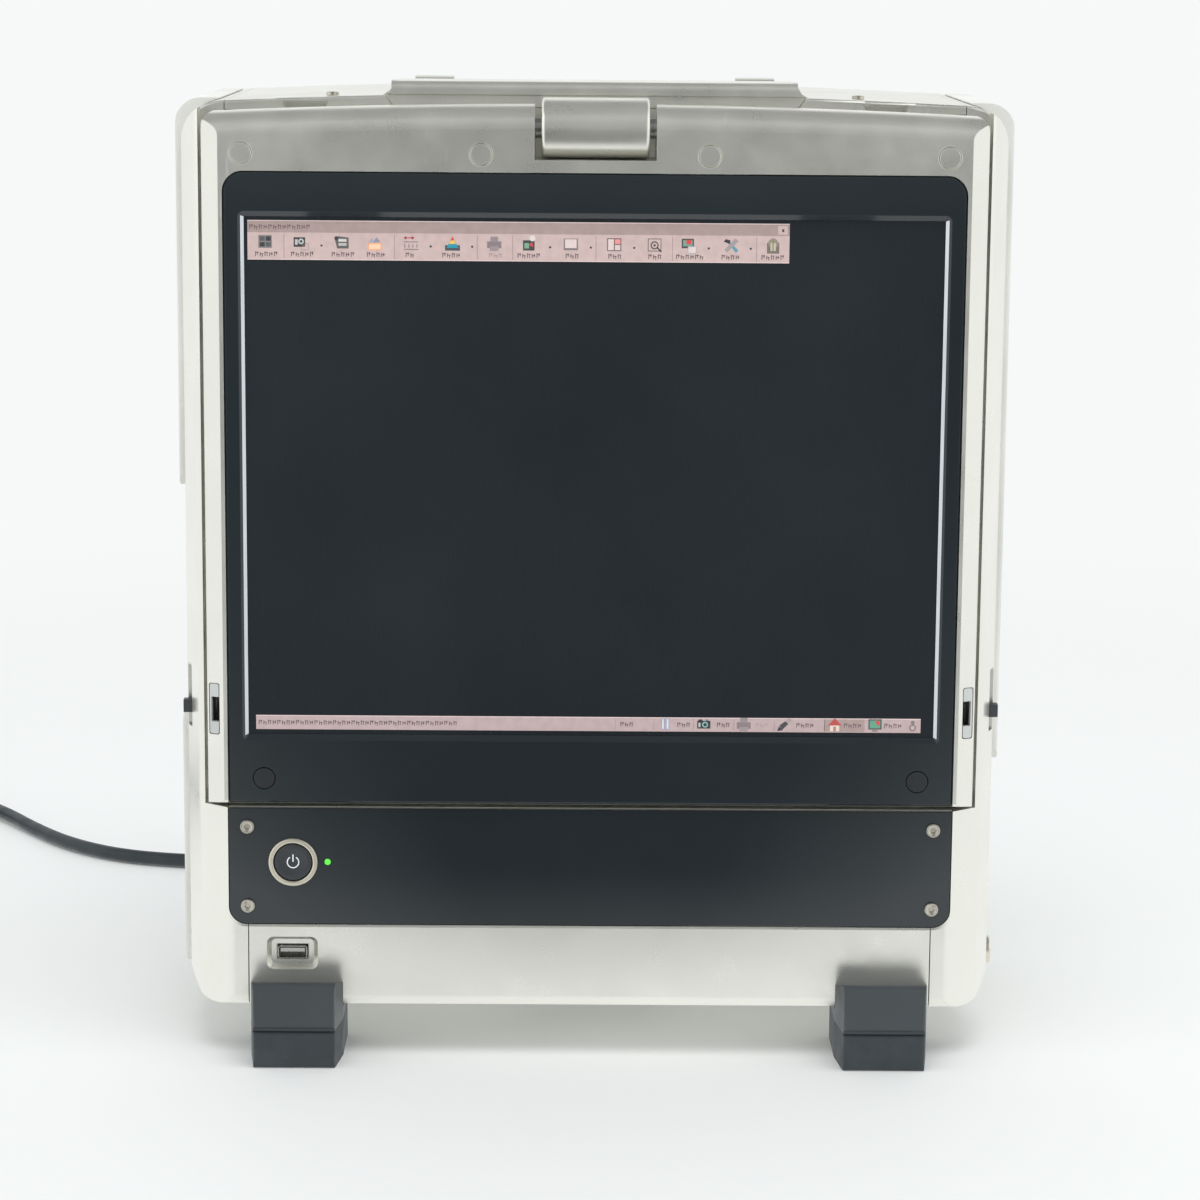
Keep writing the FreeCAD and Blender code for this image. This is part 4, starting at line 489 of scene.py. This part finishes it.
def add_world():
    """White surroundings; what is mirrored from straight ahead and from above is a dim room."""
    world = World()
    level = world.math("SQRT", world.math("ADD", world.math("MULTIPLY", world.x, world.x),
                                          world.math("MULTIPLY", world.y, world.y)))
    ahead = world.math("DIVIDE", world.math("MULTIPLY", world.y, -1.0), level)
    front = world.eased(ahead, ROOM_EDGE, 0.0, 1.0)
    room = world.eased(world.z, ROOM_RISE, *ROOM_LEVELS)
    around = world.between(front, ROUND_LEVEL, room)
    seen_there = world.between(world.eased(world.z, ZENITH_EDGE, 0.0, 1.0), around, ZENITH_LEVEL)
    paths = world.node("ShaderNodeLightPath")
    mirrored = world.math("MAXIMUM", paths.outputs["Is Glossy Ray"], paths.outputs["Is Transmission Ray"])
    world.backdrop.inputs["Color"].default_value = seen(*BACKDROP)
    shown = world.between(paths.outputs["Is Camera Ray"], AMBIENT, 1.0)
    world.wire(world.between(mirrored, shown, seen_there), world.backdrop.inputs["Strength"])


def floor_look():
    """Pale table that fades into the backdrop; its mirror image dims towards the camera."""
    look = Look("pale_floor", roughness=0.6, specular=0.1)
    cloud = look.ranged(look.noise(2, 3.0), 0.3, 0.7, 0.0, 1.0)
    look.coloured(look.mixed(cloud, seen(*FLOOR_TONES[0]), seen(*FLOOR_TONES[1])))
    split = look.node("ShaderNodeSeparateXYZ")
    look.wire(look.place, split.inputs["Vector"])
    away = look.node("ShaderNodeVectorMath", operation="LENGTH")
    look.wire(look.place, away.inputs[0])
    path = look.node("ShaderNodeLightPath")
    fade = look.ranged(away.outputs["Value"], *FLOOR_FADE, 0.0, 1.0)
    far = look.math("MULTIPLY", fade, path.outputs["Is Camera Ray"])
    shown = look.blend(far, look.shader.outputs["BSDF"], look.glow(seen(*BACKDROP), 1.0))
    ahead = look.math("DIVIDE", look.math("MULTIPLY", split.outputs["Y"], -1.0), away.outputs["Value"])
    front = look.ranged(ahead, *ROOM_EDGE, 0.0, 1.0)
    dimmed = look.ranged(split.outputs["Y"], *TABLE_END, 1.0 - TABLE_LEVEL, 0.0)
    level = look.math("SUBTRACT", 1.0, look.math("MULTIPLY", front, dimmed))
    shown = look.blend(path.outputs["Is Glossy Ray"], shown, look.glow(seen(*FLOOR_MIRRORED), level))
    look.wire(shown, look.tree.nodes["Material Output"].inputs["Surface"])
    return look.material


def add_floor():
    mesh = bpy.data.meshes.new("floor")
    corners = [(x * FLOOR_HALF, y * FLOOR_HALF, 0) for x, y in ((-1, -1), (1, -1), (1, 1), (-1, 1))]
    mesh.from_pydata(corners, [], [(0, 1, 2, 3)])
    floor = bpy.data.objects.new("floor", mesh)
    bpy.context.scene.collection.objects.link(floor)
    mesh.materials.append(floor_look())


# Mains lead

def metres(points):
    return [Vector(point) * MM for point in points]


def on_coil(radius, angle, height):
    return (COIL_CENTRE[0] + radius * math.cos(angle), COIL_CENTRE[1] + radius * math.sin(angle), height)


def coil_points():
    """Turns wound inwards on the floor, then outwards on top of them."""
    points = []
    total = LOWER_TURNS + UPPER_TURNS
    steps = round(total * POINTS_PER_TURN)
    for step in range(steps + 1):
        turns = total * step / steps
        above = turns - LOWER_TURNS
        if above <= 0:
            radius = COIL_OUTER + (COIL_INNER - COIL_OUTER) * turns / LOWER_TURNS
            height = COIL_LOW
        else:
            radius = COIL_INNER + CORD_DIAMETER * above
            height = COIL_LOW + CORD_DIAMETER
        if abs(above) < COIL_CLIMB:
            height = COIL_LOW + CORD_DIAMETER * (above + COIL_CLIMB) / (2 * COIL_CLIMB)
        points.append(on_coil(radius, COIL_START + 2 * math.pi * turns, height))
    return points


def coil_approach():
    """Two points on the straight run into the coil's first turn."""
    along = (-math.sin(COIL_START), math.cos(COIL_START))
    touch = on_coil(COIL_OUTER, COIL_START, COIL_LOW)
    return [(touch[0] - along[0] * back, touch[1] - along[1] * back, COIL_LOW) for back in COIL_APPROACH]


def add_cord():
    route = metres(LEAD + coil_approach() + coil_points() + TAIL)
    curve = bpy.data.curves.new("mains_lead", "CURVE")
    curve.dimensions = "3D"
    spline = curve.splines.new("NURBS")
    spline.points.add(len(route) - 1)
    for point, place in zip(spline.points, route):
        point.co = (*place, 1.0)
    spline.order_u = 3
    spline.use_endpoint_u = True
    spline.resolution_u = 6
    curve.bevel_depth = CORD_DIAMETER / 2 * MM
    curve.bevel_resolution = 5
    curve.use_fill_caps = True
    curve.materials.append(LOOKS["cord"])
    cord = bpy.data.objects.new("mains_lead", curve)
    bpy.context.scene.collection.objects.link(cord)
    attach(cord, "cabinet")
    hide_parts("cord_tube", "cord_coil")


# Picture on the display

# The display's own pixels, how strongly the picture shines, and in millimetres how far its layers stand off
PIXELS = (1024, 768)
PICTURE_GLOW = 0.42
PICTURE_LIFT = 0.15
LAYER_STEP = 0.02
SUNK_LAYER = -7


class Picture:
    """Flat shapes on the display, placed in its own pixels, right and down from an origin."""

    def __init__(self):
        low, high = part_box("display_panel")
        self.left = (low[0] + high[0]) / 2 - SCREEN_WIDTH / 2 * MM
        self.top = (low[2] + high[2]) / 2 + SCREEN_HEIGHT / 2 * MM
        self.front = low[1]
        self.origin = (0, 0)
        self.mesh = bmesh.new()
        self.looks = []

    def look(self, colour):
        name = "picture_%d_%d_%d" % colour
        found = [k for k, material in enumerate(self.looks) if material.name == name]
        if found:
            return found[0]
        self.looks.append(lit(name, seen(*colour), PICTURE_GLOW))
        return len(self.looks) - 1

    def point(self, x, y, layer):
        across = (self.origin[0] + x) / PIXELS[0] * SCREEN_WIDTH * MM
        down = (self.origin[1] + y) / PIXELS[1] * SCREEN_HEIGHT * MM
        return (self.left + across, self.front - (PICTURE_LIFT + LAYER_STEP * layer) * MM, self.top - down)

    def shape(self, corners, colour, layer=1):
        """A thin solid with these corners, from just above the display's surface to its layer."""
        look = self.look(colour)
        front = [self.mesh.verts.new(self.point(x, y, layer)) for x, y in corners]
        rear = [self.mesh.verts.new(self.point(x, y, SUNK_LAYER)) for x, y in corners]
        faces = [self.mesh.faces.new(front), self.mesh.faces.new(rear[::-1])]
        for k, before in enumerate(front):
            after = (k + 1) % len(front)
            faces.append(self.mesh.faces.new((before, rear[k], rear[after], front[after])))
        for face in faces:
            face.material_index = look
        bmesh.ops.recalc_face_normals(self.mesh, faces=faces)

    def box(self, x, y, width, height, colour, layer=1):
        self.shape([(x, y), (x + width, y), (x + width, y + height), (x, y + height)], colour, layer)

    def disc(self, x, y, radius, colour, layer=1, sides=18):
        angles = [2 * math.pi * k / sides for k in range(sides)]
        self.shape([(x + radius * math.cos(angle), y + radius * math.sin(angle)) for angle in angles],
                   colour, layer)

    def finish(self):
        mesh = bpy.data.meshes.new("display_picture")
        self.mesh.to_mesh(mesh)
        for material in self.looks:
            mesh.materials.append(material)
        piece = bpy.data.objects.new("display_picture", mesh)
        bpy.context.scene.collection.objects.link(piece)
        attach(piece, "screen_unit")


BAR = (188, 166, 163)
BAR_DARK = (158, 139, 136)
BAR_LINE = (206, 188, 186)
STATUS_BAR = (176, 156, 156)
INK = (62, 62, 66)
CAPTION = (104, 90, 92)
FAINT = (158, 143, 143)
GREY = (120, 112, 114)
PALE = (178, 172, 170)
RED = (170, 66, 70)

# A caption's marks: how far apart, how thick their strokes, and how tall
MARK_STEP = 7
MARK_STROKE = 1.3
MARK_HEIGHT = 7


def caption(picture, x, y, width, colour=CAPTION):
    """A row of small marks where a caption stands."""
    for k in range(max(1, round(width / MARK_STEP))):
        left = x + k * MARK_STEP
        picture.box(left, y + k % 2, MARK_STROKE, MARK_HEIGHT - k % 2, colour, 3)
        picture.box(left + MARK_STROKE, y + 1 + (k * 2) % 4, 3.8, 1.2, colour, 3)
        picture.box(left + 3.2, y + (k * 3) % 4, 1.2, 5, colour, 3)


# Pictures of tools, each drawn from its own top left corner

def draw_grid(picture):
    picture.box(0, 0, 20, 19, (126, 118, 120), 3)
    for k in range(4):
        colour = INK if k % 3 else (84, 88, 90)
        picture.box(2 + (k % 2) * 9, 2 + (k // 2) * 8.5, 7.5, 6.5, colour, 4)


def draw_camera(picture):
    picture.box(0, 5, 20, 12, INK, 3)
    picture.box(2, 3, 6, 3, INK, 3)
    picture.box(13, 3, 4, 3, (112, 122, 122), 3)
    picture.disc(12, 11, 4.6, (128, 170, 166), 4)
    picture.disc(12, 11, 2.6, INK, 5)
    picture.box(2, 8, 3, 7, PALE, 4)


def draw_still(picture):
    picture.box(-1, 3, 17, 14, INK, 3)
    picture.disc(10, 9, 4.2, (170, 180, 178), 4)
    picture.disc(10, 9, 2.0, INK, 5)
    picture.box(1, 6, 4, 8, PALE, 4)
    picture.box(10, 12, 11, 10, (150, 142, 144), 2)
    picture.box(11, 13, 9, 8, BAR, 3)


def draw_film(picture):
    picture.shape([(0, 3), (6, 1), (21, 3), (21, 19), (4, 19)], (92, 92, 92), 3)
    picture.box(6, 5, 12, 4, (190, 186, 182), 4)
    picture.box(6, 11, 12, 4, (176, 170, 166), 4)
    picture.disc(3, 4, 3, INK, 4)


def draw_folder(picture):
    picture.box(1, 11, 19, 10, (226, 146, 96), 3)
    picture.box(2, 12, 17, 8, (236, 190, 160), 4)
    picture.shape([(1, 10), (6, 3), (10, 9)], (150, 152, 164), 3)
    picture.shape([(8, 10), (13, 2), (19, 9)], (132, 136, 150), 3)


def draw_scale(picture):
    picture.box(1, 2, 14, 1.4, RED, 3)
    picture.shape([(0, 2.7), (4, 0), (4, 5.4)], RED, 3)
    picture.shape([(16, 2.7), (12, 0), (12, 5.4)], RED, 3)
    picture.box(0, 8, 22, 1.2, GREY, 3)
    picture.box(0, 19, 22, 1.2, GREY, 3)
    for k in range(4):
        picture.box(1 + 6 * k, 12, 1.4, 5, GREY, 3)


def draw_hill(picture):
    picture.box(0, 13, 22, 8, (74, 78, 84), 3)
    picture.shape([(11, 1), (20, 17), (2, 17)], (44, 138, 156), 4)
    picture.shape([(11, 1), (16, 11), (6, 11)], (222, 180, 84), 5)
    picture.shape([(11, 0), (13.5, 6), (8.5, 6)], (206, 70, 52), 6)


def draw_printer(picture):
    picture.box(0, 7, 21, 10, (128, 116, 119), 3)
    picture.box(5, 0, 11, 8, (138, 127, 130), 4)
    picture.box(4, 14, 13, 7, (146, 134, 137), 4)


def draw_note(picture):
    picture.box(0, 5, 17, 15, (66, 70, 70), 3)
    picture.box(2, 9, 7, 8, (118, 158, 134), 4)
    picture.shape([(9, 12), (13, 7), (15, 15)], (206, 70, 76), 4)
    picture.disc(14, 2, 4.4, (206, 196, 194), 4)


def draw_frame(picture):
    picture.box(0, 2, 21, 17, GREY, 3)
    picture.box(2, 3, 17, 13, BAR_LINE, 4)


def draw_split(picture):
    picture.box(0, 1, 21, 19, (112, 96, 98), 3)
    picture.box(1.5, 2.5, 8.5, 16, BAR_LINE, 4)
    picture.box(11.5, 2.5, 8, 7, (214, 136, 136), 4)
    picture.box(11.5, 11, 8, 7.5, BAR_LINE, 4)


def draw_lens(picture):
    dark = (76, 74, 76)
    picture.box(1, 1, 20, 19, (104, 96, 98), 3)
    picture.box(2.2, 2.2, 17.6, 16.6, BAR, 4)
    picture.disc(11, 11, 6, dark, 5)
    picture.disc(11, 11, 4.2, BAR, 6)
    picture.disc(11, 11, 1.8, dark, 7)
    picture.shape([(14, 15), (15.5, 13.5), (22, 20), (20.5, 21.5)], INK, 5)


def draw_view(picture):
    picture.box(0, 1, 18, 14, (78, 76, 78), 3)
    picture.box(2, 3, 14, 9, (112, 148, 132), 4)
    picture.box(7, 3, 7, 6, (208, 66, 72), 5)
    picture.box(9, 12, 13, 11, (154, 160, 166), 4)
    picture.box(10, 13, 11, 9, BAR_LINE, 5)


def draw_tools(picture):
    picture.shape([(0, 5), (3, 1), (10, 3), (9, 8)], INK, 5)
    picture.shape([(5, 6), (8, 4), (22, 18), (18, 21)], (86, 140, 162), 3)
    picture.shape([(17, 0), (22, 4), (5, 21), (1, 17)], (150, 142, 142), 4)


def draw_pad(picture):
    dark = (112, 106, 100)
    picture.box(2, 6, 18, 16, dark, 3)
    picture.disc(11, 7, 7.5, (138, 130, 116), 4)
    picture.box(7, 6, 8, 12, (184, 172, 150), 5)
    picture.box(10.2, 4, 1.4, 14, dark, 6)


def draw_pause(picture):
    for left in (0, 7):
        picture.box(left, 2, 4.6, 17, (138, 144, 166), 3)
        picture.box(left + 1, 3, 2.6, 15, (204, 206, 218), 4)


def draw_pen(picture):
    picture.shape([(0, 20), (3, 13), (9, 19)], INK, 3)
    picture.shape([(3, 12), (12, 5), (17, 9), (8, 18)], (70, 72, 74), 3)
    picture.shape([(13, 4), (18, 0), (22, 3), (17, 8)], (156, 150, 148), 4)


def draw_home(picture):
    picture.box(3, 9, 14, 11, (212, 196, 184), 3)
    picture.shape([(10, 0), (21, 11), (0, 11)], (178, 78, 74), 4)
    picture.box(8, 13, 4, 7, (160, 122, 112), 4)


def draw_monitor(picture):
    picture.box(0, 1, 20, 16, (82, 80, 82), 3)
    picture.box(2, 3, 16, 12, (96, 150, 128), 4)
    picture.shape([(9, 4), (17, 4), (17, 12)], (206, 66, 70), 5)
    picture.box(6, 18, 8, 2, (120, 108, 110), 3)


def draw_mouse(picture):
    dark = (124, 112, 113)
    picture.disc(4, 5, 3.0, dark, 3)
    picture.disc(4, 13, 5.2, dark, 3)
    picture.disc(4, 13, 3.2, (182, 166, 165), 4)


# Bars of the picture, in its pixels. The status bar is given as its left, top, width and height.
BAR_WIDTH = 799
BAR_HEIGHT = 58
TITLE_HEIGHT = 18
LINE = 1.2
STATUS = (6, 744.7, 1004, 21.8)
PICKED = (864, 60)
STATUS_TEXT_TOP = 752

# Tools: picture, its middle, the caption's start and width, and whether a small arrow follows
TOOLS = [
    (draw_grid, 27, 11, 32, False),
    (draw_still, 80, 64, 32, True),
    (draw_film, 139, 124, 34, False),
    (draw_folder, 188, 176, 28, False),
    (draw_scale, 241, 233, 17, True),
    (draw_hill, 302, 287, 28, True),
    (draw_printer, 364, 356, 18, False),
    (draw_note, 417, 398, 38, True),
    (draw_frame, 477, 469, 18, True),
    (draw_split, 541, 532, 18, True),
    (draw_lens, 600, 591, 20, False),
    (draw_view, 651, 632, 40, True),
    (draw_tools, 713, 699, 28, True),
    (draw_pad, 775, 758, 32, False),
]
TOOL_LINES = (53, 216, 338, 390, 513, 626, 750)

# Tools of the status bar: picture, its left edge, and the caption's start and width
STATUS_TOOLS = [
    (draw_pause, 618, 642, 20),
    (draw_camera, 672, 702, 20),
    (draw_printer, 732, 760, 20),
    (draw_pen, 793, 822, 28),
    (draw_home, 870, 894, 28),
    (draw_monitor, 931, 955, 26),
]
STATUS_LINES = (548, 606, 666, 727, 788, 864, 924)


def add_icon(picture, x, y, draw):
    picture.origin = (x, y)
    draw(picture)
    picture.origin = (0, 0)


def add_tool(picture, draw, x, y, start, text_top, width):
    """A tool's picture and its caption, which is faint where the tool can't be used."""
    add_icon(picture, x, y, draw)
    caption(picture, start, text_top, width, FAINT if draw is draw_printer else CAPTION)


def add_tool_bar(picture):
    picture.box(0, 0, BAR_WIDTH, BAR_HEIGHT, BAR, 1)
    picture.box(0, 0, BAR_WIDTH, TITLE_HEIGHT, BAR_DARK, 2)
    picture.box(0, 0, BAR_WIDTH, LINE, BAR_LINE, 3)
    picture.box(0, BAR_HEIGHT - 1, BAR_WIDTH, LINE, BAR_LINE, 3)
    caption(picture, 3, 6, 90)
    picture.box(BAR_WIDTH - 17, 3, 14, 13, BAR, 3)
    picture.box(BAR_WIDTH - 11, 8, 3, 4, INK, 4)
    for x in TOOL_LINES:
        picture.box(x, TITLE_HEIGHT + 2, LINE, BAR_HEIGHT - TITLE_HEIGHT - 4, BAR_DARK, 2)
    for draw, middle, start, width, arrow in TOOLS:
        add_tool(picture, draw, middle - 11, TITLE_HEIGHT + 4, start, BAR_HEIGHT - 12, width)
        if arrow:
            picture.disc(middle + 29, TITLE_HEIGHT + 19, 1.7, INK, 3, 8)


def add_status_bar(picture):
    left, top, width, height = STATUS
    picture.box(left, top, width, height, STATUS_BAR, 1)
    picture.box(left, top, width, LINE, BAR_LINE, 2)
    picture.box(PICKED[0], top + LINE, PICKED[1], height - 2 * LINE, BAR_DARK, 2)
    caption(picture, 10, STATUS_TEXT_TOP, 304)
    caption(picture, 556, STATUS_TEXT_TOP, 24)
    for draw, x, start, wide in STATUS_TOOLS:
        add_tool(picture, draw, x, 744.5, start, STATUS_TEXT_TOP, wide)
    add_icon(picture, 994, 745.5, draw_mouse)
    for x in STATUS_LINES:
        picture.box(x, 747, LINE, 17, BAR_DARK, 2)


def add_picture():
    """Tool bar along the top and status bar along the bottom of a dark picture."""
    picture = Picture()
    add_tool_bar(picture)
    add_status_bar(picture)
    picture.finish()


# Small parts on the front

def add_print(name, mesh, look, thickness, body):
    """Flat faces given a thickness towards the front, as a piece that rides on a body."""
    thick = bmesh.ops.extrude_face_region(mesh, geom=list(mesh.faces))
    moved = [part for part in thick["geom"] if isinstance(part, bmesh.types.BMVert)]
    bmesh.ops.translate(mesh, verts=moved, vec=(0, -thickness, 0))
    bmesh.ops.recalc_face_normals(mesh, faces=list(mesh.faces))
    data = bpy.data.meshes.new(name)
    mesh.to_mesh(data)
    data.materials.append(look)
    piece = bpy.data.objects.new(name, data)
    bpy.context.scene.collection.objects.link(piece)
    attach(piece, body)


def add_window_edges():
    """A bright metal strip on each of the two upright bevels of the display's window: a painted highlight.
    """
    low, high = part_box("display_panel")
    middle = ((low[0] + high[0]) / 2, (low[2] + high[2]) / 2)
    front, back = (corner[1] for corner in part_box("monitor_panel"))
    lift = EDGE_LIFT * MM
    mesh = bmesh.new()
    for side in (-1, 1):
        rows = []
        for depth in (EDGE_FROM, EDGE_TO):
            out = (REVEAL + BEVEL * (1 - depth)) * MM
            x = middle[0] + side * (SCREEN_WIDTH / 2 * MM + out - lift)
            y = front + (back - front) * depth - lift
            reach = SCREEN_HEIGHT / 2 * MM + out
            rows.append([(x, y, middle[1] + up * reach) for up in (-1, 1)])
        corners = (rows[0][0], rows[0][1], rows[1][1], rows[1][0])
        mesh.faces.new([mesh.verts.new(corner) for corner in corners])
    for face in mesh.faces:
        face.normal_update()
        if face.normal.y > 0:
            face.normal_flip()
    add_print("window_edges", mesh, LOOKS["edge"], EDGE_THICKNESS * MM, "screen_unit")


def ring_sector(mesh, centre, inner, outer, start, end, y, steps=28):
    """A flat arc facing the front, between two radii."""
    rows = []
    for step in range(steps + 1):
        angle = start + (end - start) * step / steps
        across, up = math.cos(angle), math.sin(angle)
        rows.append([mesh.verts.new((centre[0] + radius * across, y, centre[1] + radius * up))
                     for radius in (inner, outer)])
    for before, after in zip(rows, rows[1:]):
        mesh.faces.new((before[0], before[1], after[1], after[0]))


def add_power_sign():
    """The usual on-off sign, printed on the button; the print glows faintly, a painted glow."""
    low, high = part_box("power_button")
    centre = ((low[0] + high[0]) / 2, (low[2] + high[2]) / 2)
    y = low[1] + SIGN_SUNK * MM
    mesh = bmesh.new()
    top = math.radians(90)
    start = top + SIGN_GAP
    end = top + 2 * math.pi - SIGN_GAP
    ring_sector(mesh, centre, SIGN_INNER * MM, SIGN_OUTER * MM, start, end, y)
    bar = [(-SIGN_BAR_HALF, SIGN_BAR_LOW), (SIGN_BAR_HALF, SIGN_BAR_LOW),
           (SIGN_BAR_HALF, SIGN_BAR_HIGH), (-SIGN_BAR_HALF, SIGN_BAR_HIGH)]
    mesh.faces.new([mesh.verts.new((centre[0] + across * MM, y, centre[1] + up * MM)) for across, up in bar])
    # The print shows a faint light of its own: a painted glow that makes it read brighter.
    glowing_ink = lit("glowing_power_sign_print", seen(232, 236, 240), 0.2)
    add_print("power_sign", mesh, glowing_ink, SIGN_THICKNESS * MM, "power_button")


add_camera()
add_cord()
dress_nodes()
add_world()
add_floor()
for name, (place, size, power, mirrored) in LAMPS.items():
    add_light(name, place, size, power, mirrored)
add_picture()
add_window_edges()
add_power_sign()

bpy.context.scene.view_settings.view_transform = "Standard"
